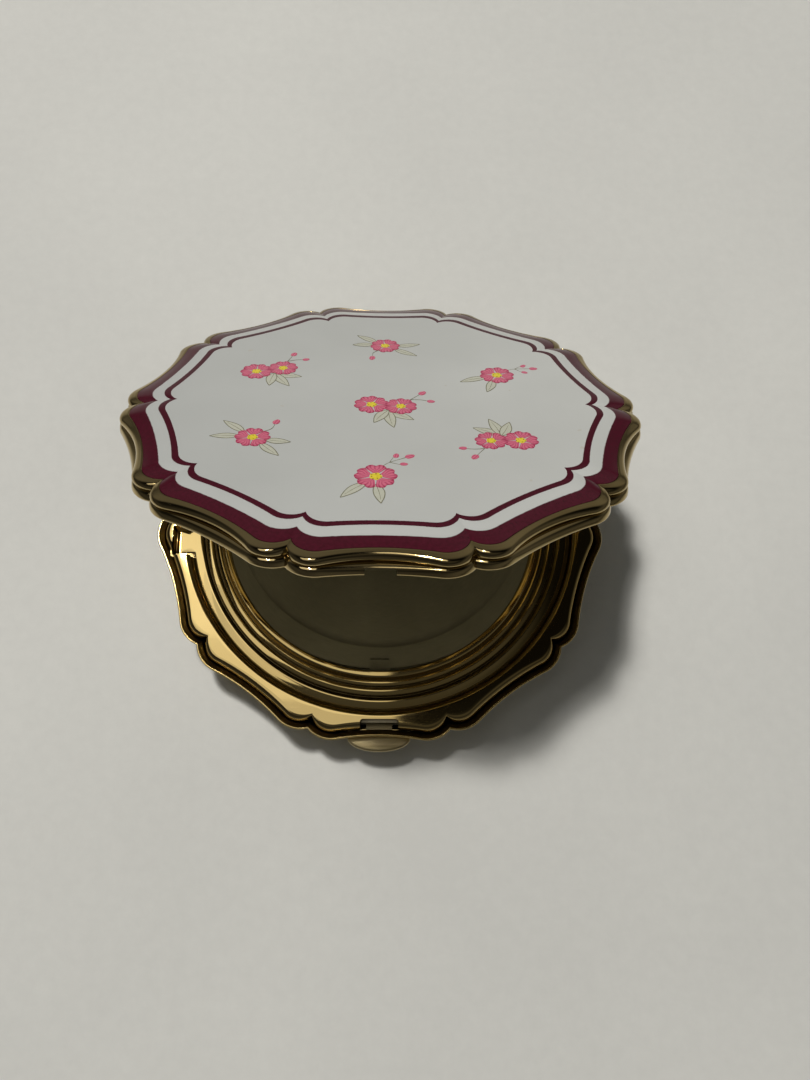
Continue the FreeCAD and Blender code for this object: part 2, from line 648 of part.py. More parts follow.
# guide channel under the slide, standing on the floor of the shell
guide = fuse("guide_solid", [
    box("guide_plate", "-dims.guide_half", "dims.guide_half", "dims.guide_front_y",
        "dims.guide_back_y", "dims.guide_plate_z", "dims.guide_floor_z"),
    box("guide_cheek_l", "-dims.guide_half", "-dims.guide_cheek_in", "dims.guide_front_y",
        "dims.guide_back_y", "dims.guide_plate_z", "dims.guide_top_z"),
    box("guide_cheek_r", "dims.guide_cheek_in", "dims.guide_half", "dims.guide_front_y",
        "dims.guide_back_y", "dims.guide_plate_z", "dims.guide_top_z"),
    box("guide_wall", "-dims.guide_half", "dims.guide_half", "dims.guide_wall_y",
        "dims.guide_back_y", "dims.guide_plate_z", "dims.guide_top_z"),
    box("guide_foot", "-dims.guide_foot_half", "dims.guide_foot_half", "dims.guide_wall_y",
        "dims.guide_back_y", "dims.guide_foot_z", "dims.guide_plate_z + 0.1"),
])
strap_at = [("%d * dims.strap_rivet_x" % s, "dims.strap_rivet_y") for s in (-1, 1)]
guide_holes = group("guide_holes", [
    cyl_z("guide_hole_%d" % i, "dims.strap_rivet_r", x, y, "dims.guide_plate_z - 1",
          "dims.guide_top_z + 1")
    for i, (x, y) in enumerate(strap_at)])
keep(cut("guide_bored", guide, guide_holes), "catch_guide")

strap = box("strap_plate", "-dims.guide_half", "dims.guide_half", "dims.strap_front_y",
            "dims.guide_back_y", "dims.guide_top_z", "dims.strap_top_z")
strap_holes = group("strap_holes", [
    cyl_z("strap_hole_%d" % i, "dims.strap_rivet_r", x, y, "dims.guide_top_z - 1",
          "dims.strap_top_z + 1")
    for i, (x, y) in enumerate(strap_at)])
keep(cut("strap_bored", strap, strap_holes), "catch_strap")
strap_rivets = group("strap_rivet_pair", [
    cyl_z("strap_rivet_%d" % i, "dims.strap_rivet_r - 0.02", x, y, "dims.guide_plate_z",
          "dims.strap_top_z")
    for i, (x, y) in enumerate(strap_at)])
keep(strap_rivets, "strap_rivets")

# bow spring: a bent strip between the slide's back edge and the guide's wall
y_wall, y_apex = dim("guide_wall_y") - 0.05, dim("slide_back_y") + 0.05
half, st = dim("spring_half"), dim("spring_thick")
zb = dim("spring_bottom_z")
bow_out = Part.Arc(V(-half, y_wall, zb), V(0, y_apex, zb), V(half, y_wall, zb)).toShape()
bow_in = Part.Arc(V(half - st, y_wall, zb), V(0, y_apex + st, zb), V(-half + st, y_wall, zb)).toShape()
bow = Part.Wire([bow_out,
                 Part.LineSegment(V(half, y_wall, zb), V(half - st, y_wall, zb)).toShape(),
                 bow_in,
                 Part.LineSegment(V(-half + st, y_wall, zb), V(-half, y_wall, zb)).toShape()])
feature("catch_spring", Part.Face(bow).extrude(V(0, 0, dim("spring_high"))))

# -------------------------------------------------------------- check, write
doc.recompute()
for obj, label, place in PIECES:
    if place is not None:
        obj.Placement = place
bad = []
for obj in doc.Objects:
    if any(s in obj.State for s in ("Invalid", "Error")):
        bad.append("%s: %s" % (obj.Name, obj.State))
for obj, label, place in PIECES:
    s = obj.Shape
    if s.isNull() or not s.isValid() or not s.Solids:
        bad.append("%s: bad shape" % label)
if bad:
    raise RuntimeError("; ".join(bad))
os.makedirs("parts", exist_ok=True)
for obj, label, place in PIECES:
    obj.Shape.exportStep("parts/%s.step" % label)
    bb = obj.Shape.BoundBox
    print("%-20s solids %d faces %4d vol %9.2f  x %.2f %.2f y %.2f %.2f z %.2f %.2f" % (
        label, len(obj.Shape.Solids), len(obj.Shape.Faces), obj.Shape.Volume,
        bb.XMin, bb.XMax, bb.YMin, bb.YMax, bb.ZMin, bb.ZMax))
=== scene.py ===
import math

import bmesh
import bpy
import numpy as np
from mathutils import Matrix, Vector


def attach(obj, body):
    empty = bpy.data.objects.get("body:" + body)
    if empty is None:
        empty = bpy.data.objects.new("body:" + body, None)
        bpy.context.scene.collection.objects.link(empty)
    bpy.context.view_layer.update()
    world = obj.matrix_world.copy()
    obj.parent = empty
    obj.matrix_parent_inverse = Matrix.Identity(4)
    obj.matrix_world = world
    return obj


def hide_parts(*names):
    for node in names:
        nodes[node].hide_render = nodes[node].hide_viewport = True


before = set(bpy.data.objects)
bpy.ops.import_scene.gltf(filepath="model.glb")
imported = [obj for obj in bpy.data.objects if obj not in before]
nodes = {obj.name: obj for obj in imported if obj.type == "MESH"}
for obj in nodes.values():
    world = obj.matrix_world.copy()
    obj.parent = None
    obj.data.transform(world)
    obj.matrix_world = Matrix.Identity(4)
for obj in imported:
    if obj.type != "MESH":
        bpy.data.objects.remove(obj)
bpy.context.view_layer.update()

MM = 0.001

# The case opens on a pin at the back. Lid pieces are drawn with the lid shut
# and carried to the half-open resting place by LID.
HINGE = Vector((0.0, 39.3, 6.3)) * MM
LID = (Matrix.Translation(HINGE) @ Matrix.Rotation(math.radians(-35.8), 4, "X")
       @ Matrix.Translation(-HINGE))

# ------------------------------------------------------------------ outlines
# Ten lobes. Each has a hollow middle, two rounded shoulders and meets the next
# lobe in a sharp notch. An outline is given by three radii: middle, shoulder
# and notch.
SHOULDER = math.radians(13.4)
HALF = math.radians(18.0)
N_ARM, N_MID = 20, 32
N_LOBE = 2 * N_ARM + N_MID


def arc(a, b, c, n):
    """n points from a towards c on the circle through a, b and c; c left out."""
    (ax, ay), (bx, by), (cx, cy) = a, b, c
    d = 2 * (ax * (by - cy) + bx * (cy - ay) + cx * (ay - by))
    k = np.arange(n) / n
    if abs(d) < 1e-7:
        return np.stack([ax + (cx - ax) * k, ay + (cy - ay) * k], -1)
    a2, b2, c2 = ax * ax + ay * ay, bx * bx + by * by, cx * cx + cy * cy
    ux = (a2 * (by - cy) + b2 * (cy - ay) + c2 * (ay - by)) / d
    uy = (a2 * (cx - bx) + b2 * (ax - cx) + c2 * (bx - ax)) / d
    r = math.hypot(ax - ux, ay - uy)
    t0, t1, t2 = (math.atan2(y - uy, x - ux) for x, y in (a, b, c))
    span, mid = (t2 - t0) % (2 * math.pi), (t1 - t0) % (2 * math.pi)
    if mid > span:
        span -= 2 * math.pi
    t = t0 + span * k
    return np.stack([ux + r * np.cos(t), uy + r * np.sin(t)], -1)


def flank(mid, sh, no):
    """Where the shoulder arc runs into the hollow middle of a lobe."""
    if max(mid, sh, no) - min(mid, sh, no) < 0.02:
        return mid * math.cos(math.radians(10)), mid * math.sin(math.radians(10))
    c = math.cos(HALF - SHOULDER)
    rho = (sh * sh + no * no - 2 * sh * no * c) / (2 * (sh - no * c))
    cx, cy, e = (sh - rho) * math.cos(SHOULDER), (sh - rho) * math.sin(SHOULDER), mid - rho
    if abs(cx - e) < 1e-4:
        return mid * math.cos(math.radians(10)), mid * math.sin(math.radians(10))
    d = (cx * cx + cy * cy - e * e) / (2 * (cx - e))
    far, s = math.hypot(d - cx, cy), (1 if d > mid else -1)
    return cx + s * rho * (d - cx) / far, cy - s * rho * cy / far


def outline(mid, sh, no):
    px, py = flank(mid, sh, no)
    n0 = (no * math.cos(HALF), -no * math.sin(HALF))
    s0 = (sh * math.cos(SHOULDER), -sh * math.sin(SHOULDER))
    n1, s1 = (n0[0], -n0[1]), (s0[0], -s0[1])
    one = np.concatenate([arc(n0, s0, (px, -py), N_ARM), arc((px, -py), (mid, 0.0), (px, py), N_MID),
                          arc((px, py), s1, n1, N_ARM)])
    out = []
    for k in range(10):
        t = math.radians(-90 + 36 * k)
        c, s = math.cos(t), math.sin(t)
        out.append(np.stack([one[:, 0] * c - one[:, 1] * s, one[:, 0] * s + one[:, 1] * c], -1))
    return np.concatenate(out)


def lift(flat, z):
    return np.column_stack([flat, np.full(len(flat), float(z))])


def ring(mid, sh, no, z):
    return lift(outline(mid, sh, no), z)


def smooth(keys, step):
    """Rows along a smooth curve through the keys, about step apart."""
    k = np.array(keys, float)
    d = np.sqrt((k[1:, 0] - k[:-1, 0]) ** 2 + (k[1:, -1] - k[:-1, -1]) ** 2) + 1e-9
    v = (k[1:] - k[:-1]) / d[:, None]
    m = np.zeros_like(k)
    m[0], m[-1] = v[0], v[-1]
    for i in range(1, len(k) - 1):
        m[i] = (v[i] * d[i - 1] + v[i - 1] * d[i]) / (d[i - 1] + d[i])
    rows = []
    for i in range(len(k) - 1):
        n = max(1, int(math.ceil(d[i] / step)))
        for j in range(n):
            t = j / n
            h00, h10 = 2 * t ** 3 - 3 * t ** 2 + 1, t ** 3 - 2 * t ** 2 + t
            h01, h11 = -2 * t ** 3 + 3 * t ** 2, t ** 3 - t ** 2
            rows.append(h00 * k[i] + h10 * d[i] * m[i] + h01 * k[i + 1] + h11 * d[i] * m[i + 1])
    rows.append(k[-1])
    return np.array(rows)


def rounded(corners, closed=True, n=6):
    """A polygon of (x, y, radius) with its corners rounded."""
    out, m = [], len(corners)
    for i, (x, y, r) in enumerate(corners):
        p = np.array((x, y), float)
        if r <= 0 or (not closed and i in (0, m - 1)):
            out.append(p)
            continue
        a, b = np.array(corners[i - 1][:2], float) - p, np.array(corners[(i + 1) % m][:2], float) - p
        la, lb = np.linalg.norm(a), np.linalg.norm(b)
        a, b = a / la, b / lb
        ang = math.acos(max(-1.0, min(1.0, float(a @ b))))
        if ang > math.pi - 0.01:
            out.append(p)
            continue
        t = min(r / math.tan(ang / 2), 0.48 * la, 0.48 * lb)
        rad = t * math.tan(ang / 2)
        mid = (a + b) / np.linalg.norm(a + b)
        c = p + mid * rad / math.sin(ang / 2)
        s, e = p + a * t - c, p + b * t - c
        t0, t1 = math.atan2(s[1], s[0]), math.atan2(e[1], e[0])
        d = (t1 - t0 + math.pi) % (2 * math.pi) - math.pi
        for j in range(n + 1):
            th = t0 + d * j / n
            out.append(c + rad * np.array((math.cos(th), math.sin(th))))
    return np.array(out)


# -------------------------------------------------------------------- meshes
def loft(rings, closed=False, caps=True):
    """Skin over rings of equal length; open ends are closed to their middles."""
    n, m = len(rings[0]), len(rings)
    verts = [np.asarray(r, float) for r in rings]
    faces = []
    for i in range(m if closed else m - 1):
        a, b = i * n, ((i + 1) % m) * n
        faces += [(a + j, a + (j + 1) % n, b + (j + 1) % n, b + j) for j in range(n)]
    extra = n * m
    if not closed and caps:
        for first, r in ((0, verts[0]), ((m - 1) * n, verts[-1])):
            verts.append(r.mean(0)[None])
            faces += [(first + j, first + (j + 1) % n, extra) for j in range(n)]
            extra += 1
    return np.concatenate(verts), faces


def circle(r, z, n=480):
    t = np.arange(n) * 2 * math.pi / n
    return np.column_stack([r * np.cos(t), r * np.sin(t), np.full(n, float(z))])


def turned(profile, n=480, closed=True):
    return loft([circle(r, z, n) for r, z in profile], closed)


def prism(flat, z0, z1):
    return loft([lift(np.asarray(flat), z0), lift(np.asarray(flat), z1)])


def box(x0, x1, y0, y1, z0, z1, r=0.0, n=5):
    return prism(rounded([(x0, y0, r), (x1, y0, r), (x1, y1, r), (x0, y1, r)], n=n), z0, z1)


def joined(*solids):
    verts, faces, base = [], [], 0
    for v, f in solids:
        verts.append(v)
        faces += [tuple(i + base for i in q) for q in f]
        base += len(v)
    return np.concatenate(verts), faces


def raw(name, solid):
    verts, faces = solid
    me = bpy.data.meshes.new(name)
    me.from_pydata((verts * MM).tolist(), [], faces)
    bm = bmesh.new()
    bm.from_mesh(me)
    bmesh.ops.recalc_face_normals(bm, faces=bm.faces)
    bm.to_mesh(me)
    bm.free()
    ob = bpy.data.objects.new(name, me)
    bpy.context.scene.collection.objects.link(ob)
    return ob


def drop(ob):
    me = ob.data
    bpy.data.objects.remove(ob)
    bpy.data.meshes.remove(me)


def combine(ob, other, operation):
    mod = ob.modifiers.new("combine", "BOOLEAN")
    mod.operation, mod.solver, mod.object = operation, "EXACT", other
    bpy.context.view_layer.update()
    dg = bpy.context.evaluated_depsgraph_get()
    new = bpy.data.meshes.new_from_object(ob.evaluated_get(dg))
    ob.modifiers.clear()
    old, ob.data = ob.data, new
    bpy.data.meshes.remove(old)
    drop(other)


def cut(ob, *solids):
    for s in solids:
        combine(ob, raw("cutter", s), "DIFFERENCE")


def finish_mesh(ob, material, body, replaced=(), sharp=32.0, lid=False):
    me = ob.data
    me.materials.clear()
    for m in material if isinstance(material, (list, tuple)) else [material]:
        me.materials.append(m)
    me.shade_smooth()
    me.set_sharp_from_angle(angle=math.radians(sharp))
    if lid:
        ob.matrix_world = LID
        bpy.context.view_layer.update()
    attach(ob, body)
    if replaced:
        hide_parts(*replaced)
    return ob


# ----------------------------------------------------------------- materials
class Mat:
    """A material with one principled shader and a few short ways to add nodes."""

    def __init__(self, name, **values):
        self.m = bpy.data.materials.new(name)
        self.m.use_nodes = True
        self.t = self.m.node_tree
        self.t.nodes.clear()
        self.out = self.add("ShaderNodeOutputMaterial")
        self.b = self.add("ShaderNodeBsdfPrincipled")
        self.t.links.new(self.b.outputs["BSDF"], self.out.inputs["Surface"])
        for k, v in values.items():
            self.b.inputs[k.replace("_", " ")].default_value = v
        self._at = None

    def add(self, kind, **props):
        n = self.t.nodes.new(kind)
        for k, v in props.items():
            setattr(n, k, v)
        return n

    def link(self, a, b):
        self.t.links.new(a, b)

    def put(self, socket, value):
        if isinstance(value, bpy.types.NodeSocket):
            self.link(value, socket)
        else:
            socket.default_value = value

    def at(self):
        if self._at is None:
            self._at = self.add("ShaderNodeTexCoord").outputs["Object"]
        return self._at

    def mapped(self, scale=(1, 1, 1), turn=(0, 0, 0), vector=None):
        n = self.add("ShaderNodeMapping")
        self.link(vector or self.at(), n.inputs["Vector"])
        n.inputs["Scale"].default_value = scale
        n.inputs["Rotation"].default_value = [math.radians(a) for a in turn]
        return n.outputs["Vector"]

    def noise(self, scale, detail=3.0, rough=0.55, vector=None):
        n = self.add("ShaderNodeTexNoise")
        self.link(vector or self.at(), n.inputs["Vector"])
        n.inputs["Scale"].default_value = scale
        n.inputs["Detail"].default_value = detail
        n.inputs["Roughness"].default_value = rough
        return n.outputs["Fac"]

    def math(self, op, a, b=0.0, clamp=False):
        n = self.add("ShaderNodeMath", operation=op, use_clamp=clamp)
        self.put(n.inputs[0], a)
        self.put(n.inputs[1], b)
        return n.outputs[0]

    def ramp(self, value, lo, hi, to_lo=0.0, to_hi=1.0, smoothstep=False):
        n = self.add("ShaderNodeMapRange")
        n.interpolation_type = "SMOOTHSTEP" if smoothstep else "LINEAR"
        self.put(n.inputs["Value"], value)
        for k, v in (("From Min", lo), ("From Max", hi), ("To Min", to_lo), ("To Max", to_hi)):
            n.inputs[k].default_value = v
        return n.outputs["Result"]

    def mix(self, fac, a, b):
        n = self.add("ShaderNodeMix", data_type="RGBA")
        self.put(n.inputs[0], fac)
        self.put(n.inputs[6], a if isinstance(a, bpy.types.NodeSocket) else (*a, 1.0))
        self.put(n.inputs[7], b if isinstance(b, bpy.types.NodeSocket) else (*b, 1.0))
        return n.outputs[2]

    def attribute(self, name):
        n = self.add("ShaderNodeAttribute", attribute_name=name)
        return n.outputs["Fac"]

    def bump(self, height, distance, strength=1.0):
        n = self.add("ShaderNodeBump")
        n.inputs["Strength"].default_value = strength
        n.inputs["Distance"].default_value = distance
        self.link(height, n.inputs["Height"])
        self.link(n.outputs["Normal"], self.b.inputs["Normal"])

    def colour(self, socket):
        self.link(socket, self.b.inputs["Base Color"])

    def rough(self, socket):
        self.link(socket, self.b.inputs["Roughness"])


def scratches(mat, turn, scale):
    """Fine straight hairlines: thin bands of stretched noise, broken up by a coarse one."""
    v = mat.mapped((scale * 0.018, scale, scale), turn)
    line = mat.ramp(mat.math("ABSOLUTE", mat.math("SUBTRACT", mat.noise(1.0, 1.0, 0.4, v), 0.5)), 0.0, 0.012, 1.0, 0.0)
    patch = mat.ramp(mat.noise(150.0, 2.0), 0.52, 0.66)
    return mat.math("MULTIPLY", line, patch)


def polished_gold(name, low=0.03, high=0.075, light=(0.87, 0.66, 0.28), dark=(0.80, 0.58, 0.22), crevice=None):
    """Polished gilt with painted shade in places, darker brown and duller there: crevice = "deep" shades what lies low,
    "inside" what faces the middle, "back" what is near the hinge, or a list of (inner radius, outer radius, share) for
    grooves."""
    m = Mat(name, Metallic=1.0)
    broad, fine = m.noise(45.0, 3.0), m.noise(700.0, 4.0, 0.6)
    hair = m.math("ADD", scratches(m, (0, 0, 37), 2600.0), scratches(m, (0, 0, -58), 2100.0), clamp=True)
    tint = m.mix(m.ramp(broad, 0.35, 0.68), light, dark)
    painted_shade = None
    if crevice:
        sep = m.add("ShaderNodeSeparateXYZ")
        m.link(m.at(), sep.inputs[0])
        if crevice == "deep":
            painted_shade = m.ramp(sep.outputs[2], 0.00825, 0.0087, 1.0, 0.0, True)
        elif crevice == "back":
            painted_shade = m.ramp(sep.outputs[1], 0.010, 0.032, 0.0, 0.62, True)
        elif crevice != "inside":
            r = m.math("SQRT", m.math("ADD", m.math("POWER", sep.outputs[0], 2.0), m.math("POWER", sep.outputs[1], 2.0)))
            painted_shade = 0.0
            for r0, r1, share in crevice:
                band = m.math("MULTIPLY", m.ramp(r, r0 * MM, (r0 + 0.06) * MM, 0.0, share), m.ramp(r, (r1 - 0.06) * MM, r1 * MM, 1.0, 0.0))
                painted_shade = m.math("ADD", band, painted_shade)
        else:
            facing = m.add("ShaderNodeSeparateXYZ")
            m.link(m.add("ShaderNodeTexCoord").outputs["Normal"], facing.inputs[0])
            inward = m.math("ADD", m.math("MULTIPLY", sep.outputs[0], facing.outputs[0]), m.math("MULTIPLY", sep.outputs[1], facing.outputs[1]))
            painted_shade = m.ramp(inward, -0.014, -0.005, 1.0, 0.0, True)
        painted_shade = m.math("MULTIPLY", painted_shade, m.ramp(fine, 0.2, 0.7, 1.0, 0.8))
        # painted shade: the gilt is mixed toward dark brown wherever the painted shade mask is set
        tint = m.mix(painted_shade, tint, (0.17, 0.125, 0.055))
    m.colour(tint)
    spread = m.math("ADD", m.math("MULTIPLY", m.ramp(broad, 0.3, 0.7), 0.45), m.math("MULTIPLY", m.ramp(fine, 0.3, 0.75), 0.35))
    spread = m.math("ADD", spread, m.math("MULTIPLY", hair, 0.5), clamp=True)
    rough = m.ramp(spread, 0.0, 1.0, low, high)
    m.rough(m.math("ADD", rough, m.math("MULTIPLY", painted_shade, 0.22)) if painted_shade else rough)
    m.bump(m.math("SUBTRACT", m.noise(260.0, 2.0), m.math("MULTIPLY", hair, 0.25)), 0.0000012)
    return m.m


def satin_gold(name, base=(0.66, 0.50, 0.24), deep=(0.56, 0.41, 0.18), rough=(0.30, 0.42), grain=9000.0, round_=True):
    m = Mat(name, Metallic=1.0)
    if round_:
        sep = m.add("ShaderNodeSeparateXYZ")
        m.link(m.at(), sep.inputs[0])
        r = m.math("SQRT", m.math("ADD", m.math("POWER", sep.outputs[0], 2.0), m.math("POWER", sep.outputs[1], 2.0)))
        comb = m.add("ShaderNodeCombineXYZ")
        m.link(m.math("MULTIPLY", r, grain), comb.inputs[0])
        m.link(m.math("MULTIPLY", m.math("ARCTAN2", sep.outputs[1], sep.outputs[0]), 9.0), comb.inputs[1])
        lines = m.noise(1.0, 3.0, 0.6, comb.outputs[0])
    else:
        lines = m.noise(1.0, 3.0, 0.6, m.mapped((grain * 0.03, grain, grain)))
    broad = m.noise(60.0, 3.0)
    m.colour(m.mix(m.ramp(m.math("ADD", m.math("MULTIPLY", lines, 0.5), m.math("MULTIPLY", broad, 0.5)), 0.35, 0.65), base, deep))
    m.rough(m.ramp(m.math("ADD", lines, m.math("MULTIPLY", broad, 0.4)), 0.4, 1.0, rough[0], rough[1]))
    m.bump(lines, 0.000004)
    return m.m


def brass(name, base=(0.62, 0.46, 0.21), deep=(0.45, 0.31, 0.13), rough=(0.22, 0.45)):
    m = Mat(name, Metallic=1.0)
    n, f = m.noise(240.0, 4.0, 0.6), m.noise(1600.0, 3.0)
    m.colour(m.mix(m.ramp(n, 0.35, 0.7), base, deep))
    m.rough(m.ramp(m.math("ADD", n, m.math("MULTIPLY", f, 0.5)), 0.45, 1.1, rough[0], rough[1]))
    m.bump(f, 0.000004)
    return m.m


def steel(name):
    m = Mat(name, Metallic=1.0)
    n = m.noise(1.0, 3.0, 0.6, m.mapped((400.0, 5200.0, 5200.0)))
    m.colour(m.mix(m.ramp(n, 0.3, 0.7), (0.56, 0.56, 0.55), (0.42, 0.42, 0.41)))
    m.rough(m.ramp(n, 0.3, 0.7, 0.2, 0.34))
    m.bump(n, 0.000002)
    return m.m


def silvered(name):
    m = Mat(name, Metallic=1.0)
    n, f = m.noise(70.0, 4.0, 0.6), m.noise(1500.0, 2.0)
    m.colour(m.mix(m.ramp(n, 0.3, 0.75), (0.66, 0.67, 0.65), (0.60, 0.61, 0.59)))
    m.rough(m.ramp(m.math("MULTIPLY", n, f), 0.1, 0.5, 0.012, 0.045))
    return m.m


def card(name):
    m = Mat(name, Roughness=0.9)
    n = m.noise(900.0, 5.0, 0.65)
    m.colour(m.mix(m.ramp(n, 0.3, 0.7), (0.40, 0.39, 0.37), (0.30, 0.29, 0.27)))
    m.bump(n, 0.00001)
    return m.m


# WHITE_A and WHITE_B are the left side's whites, WHITE_C and WHITE_D the lighter right side's: a painted shade gradient
# across the enamel
WHITE_A, WHITE_B = (0.435, 0.449, 0.440), (0.405, 0.418, 0.409)
WHITE_C, WHITE_D = (0.530, 0.544, 0.528), (0.495, 0.508, 0.493)
PLUM_A, PLUM_B = (0.062, 0.0035, 0.013), (0.046, 0.0025, 0.009)


def enamel(name):
    """White enamel with two printed border lines; 'band' counts the lines outward. The white is painted darker on the
    left and lighter on the right: painted shade.
    """
    m = Mat(name, IOR=1.5)
    broad, fine, speck = m.noise(38.0, 3.0), m.noise(1900.0, 3.0, 0.6), m.noise(420.0, 2.0)
    band = m.math("ADD", m.attribute("band"), m.math("MULTIPLY", m.math("SUBTRACT", fine, 0.5), 0.06))
    w = 0.035
    up = [m.ramp(band, k - w, k + w, smoothstep=True) for k in (1.0, 2.0, 3.0)]
    plum = m.math("ADD", m.math("SUBTRACT", up[0], up[1]), up[2], clamp=True)
    sep = m.add("ShaderNodeSeparateXYZ")
    m.link(m.at(), sep.inputs[0])
    # painted shade: the white runs darker on the left and lighter on the right
    shade_left_right = m.ramp(sep.outputs[0], -0.036, 0.036, 0.0, 1.0)
    white = m.mix(m.ramp(broad, 0.35, 0.65), m.mix(shade_left_right, WHITE_A, WHITE_C), m.mix(shade_left_right, WHITE_B, WHITE_D))
    white = m.mix(m.ramp(speck, 0.735, 0.76, 0.0, 0.35), white, (0.42, 0.37, 0.28))
    m.colour(m.mix(plum, white, m.mix(m.ramp(fine, 0.35, 0.65), PLUM_A, PLUM_B)))
    m.rough(m.ramp(m.math("ADD", m.math("MULTIPLY", broad, 0.6), m.math("MULTIPLY", fine, 0.4)), 0.35, 0.7, 0.06, 0.13))
    m.bump(m.noise(130.0, 2.0), 0.000004)
    return m.m


def ink(name, a, b, vein=False):
    m = Mat(name, IOR=1.5)
    fine = m.noise(2600.0, 3.0, 0.6)
    if vein:
        across, out = m.attribute("across"), m.attribute("out")
        lines = m.ramp(m.math("SINE", m.math("MULTIPLY", across, 11.0)), 0.0, 0.7)
        edge = m.ramp(out, 0.55, 1.0)
        f = m.math("ADD", m.math("MULTIPLY", lines, 0.55), m.math("MULTIPLY", edge, 0.6))
        f = m.math("ADD", f, m.math("MULTIPLY", m.math("SUBTRACT", fine, 0.5), 0.5), clamp=True)
    else:
        f = m.ramp(fine, 0.3, 0.7)
    m.colour(m.mix(f, a, b))
    m.rough(m.ramp(fine, 0.3, 0.7, 0.09, 0.16))
    return m.m


# base plate gold: painted shade turns it brown below about 8.7 mm height, in its bend, skirt and hole wall
GOLD = polished_gold("polished_gold", crevice="deep")
# lid rim gold: set dimmer than the plate's gold and darker still toward the hinge, painted shade for the darker
# reflections on the rim
RIM_GOLD = polished_gold("rim_gold", 0.07, 0.14, (0.60, 0.465, 0.225), (0.51, 0.385, 0.17), "back")
# mirror ring gold: painted shade darkens its three grooves toward brown
RING_GOLD = polished_gold("ring_gold", 0.035, 0.085, crevice=((30.88, 31.55, 1.0), (29.32, 29.82, 1.0), (27.96, 28.64, 0.85)))
# tab roll gold: a dim orange-brown gold, painted shade for the dim reflections inside the key recess
ROLL_GOLD = polished_gold("roll_gold", 0.16, 0.26, (0.44, 0.26, 0.08), (0.32, 0.18, 0.05))
# dish gold: painted shade darkens the faces turned toward the middle, in the gap under the rim
SHELL_GOLD = polished_gold("shell_gold", 0.10, 0.22, crevice="inside")
LINER = satin_gold("satin_gold", (0.225, 0.192, 0.11), (0.185, 0.155, 0.088), (0.48, 0.60))
CHAMPAGNE = satin_gold("champagne", (0.70, 0.585, 0.335), (0.44, 0.355, 0.185), (0.42, 0.56), 2500.0, False)
BRASS = brass("plain_brass")
WORN = brass("worn_brass", (0.55, 0.49, 0.34), (0.38, 0.33, 0.22), (0.35, 0.55))
STEEL = steel("spring_steel")
SILVER = silvered("silvered_glass")
CARD = card("grey_card")
ENAMEL = enamel("printed_enamel")
PINK = ink("petal_pink", (0.60, 0.15, 0.23), (0.30, 0.02, 0.07), vein=True)
YELLOW = ink("pollen_yellow", (0.72, 0.60, 0.06), (0.62, 0.50, 0.03))
DOT = ink("stamen_dark", (0.16, 0.05, 0.03), (0.10, 0.03, 0.02))
LEAF = ink("leaf_grey", (0.20, 0.19, 0.13), (0.14, 0.14, 0.09))
LEAF_PALE = ink("leaf_pale", (0.50, 0.50, 0.42), (0.44, 0.45, 0.37))

# ----------------------------------------------------------------- lid shell
# flange beside the plaque, upper bead, groove, lower bead, rolled lip, inside
lid_rows = [
    smooth([(36.90, 38.76, 36.98, 11.02), (36.90, 38.76, 36.98, 11.37)], 0.2)[:-1],
    smooth([(36.90, 38.76, 36.98, 11.37), (36.94, 38.81, 37.03, 11.41), (37.02, 38.92, 37.15, 11.41),
            (37.32, 39.36, 37.62, 11.32), (37.60, 39.78, 38.12, 11.20), (37.79, 40.07, 38.44, 11.04),
            (37.91, 40.25, 38.65, 10.82), (37.97, 40.34, 38.75, 10.52), (37.93, 40.28, 38.71, 10.22),
            (37.72, 40.02, 38.50, 9.98), (37.50, 39.80, 38.30, 9.87)], 0.06)[:-1],
    smooth([(37.50, 39.80, 38.30, 9.87), (37.80, 39.98, 38.52, 9.83), (38.22, 40.20, 38.86, 9.72),
            (38.58, 40.38, 39.14, 9.55), (38.80, 40.47, 39.30, 9.28), (38.90, 40.52, 39.40, 8.95),
            (38.90, 40.52, 39.40, 8.66), (38.84, 40.45, 39.34, 8.53), (38.72, 40.33, 39.21, 8.48),
            (38.58, 40.18, 39.06, 8.52), (38.47, 40.07, 38.93, 8.66)], 0.06)[:-1],
    smooth([(38.47, 40.07, 38.93, 8.66), (38.40, 39.98, 38.80, 9.10), (37.95, 39.60, 38.30, 9.58),
            (37.10, 39.00, 37.55, 9.95), (36.80, 38.70, 37.20, 10.35), (36.45, 38.35, 36.85, 10.60)], 0.2),
]
lid_rings = [ring(*row) for row in np.concatenate(lid_rows)]
lid_shell = raw("lid_rim", loft(lid_rings))
cut(lid_shell, box(-2.05, 2.05, -42.0, -36.6, 8.0, 9.5))
finish_mesh(lid_shell, RIM_GOLD, "lid", ("lid_shell",), 30.0, True)

# ------------------------------------------------------------- enamel plaque
crown, line_out, brow, edge = ((32.05, 33.26, 31.80, 12.150), (32.95, 34.30, 32.90, 12.105),
                               (34.90, 36.20, 34.85, 11.830), (36.86, 38.71, 36.93, 11.420))
plaque_rings, bands = [], []
for f in (0.12, 0.3, 0.5, 0.7, 0.85, 0.95):
    plaque_rings.append(ring(crown[0] * f, crown[1] * f, crown[2] * f, crown[3]))
    bands.append(0.0)
dome = smooth([(31.2, 32.35, 30.95, 12.15), crown, line_out, brow, (35.95, 37.55, 35.97, 11.645), edge], 0.09)
marks = [(crown[0], 1.0), (line_out[0], 2.0), (brow[0], 3.0), (edge[0], 4.0)]
for row in dome[1:]:
    plaque_rings.append(ring(*row))
    bands.append(float(np.interp(row[0], [31.2] + [a for a, _ in marks], [0.06] + [b for _, b in marks])))
for z in (11.16, 11.03):
    plaque_rings.append(ring(edge[0], edge[1], edge[2], z))
    bands.append(4.5)
plaque = raw("enamel_face", loft(plaque_rings))
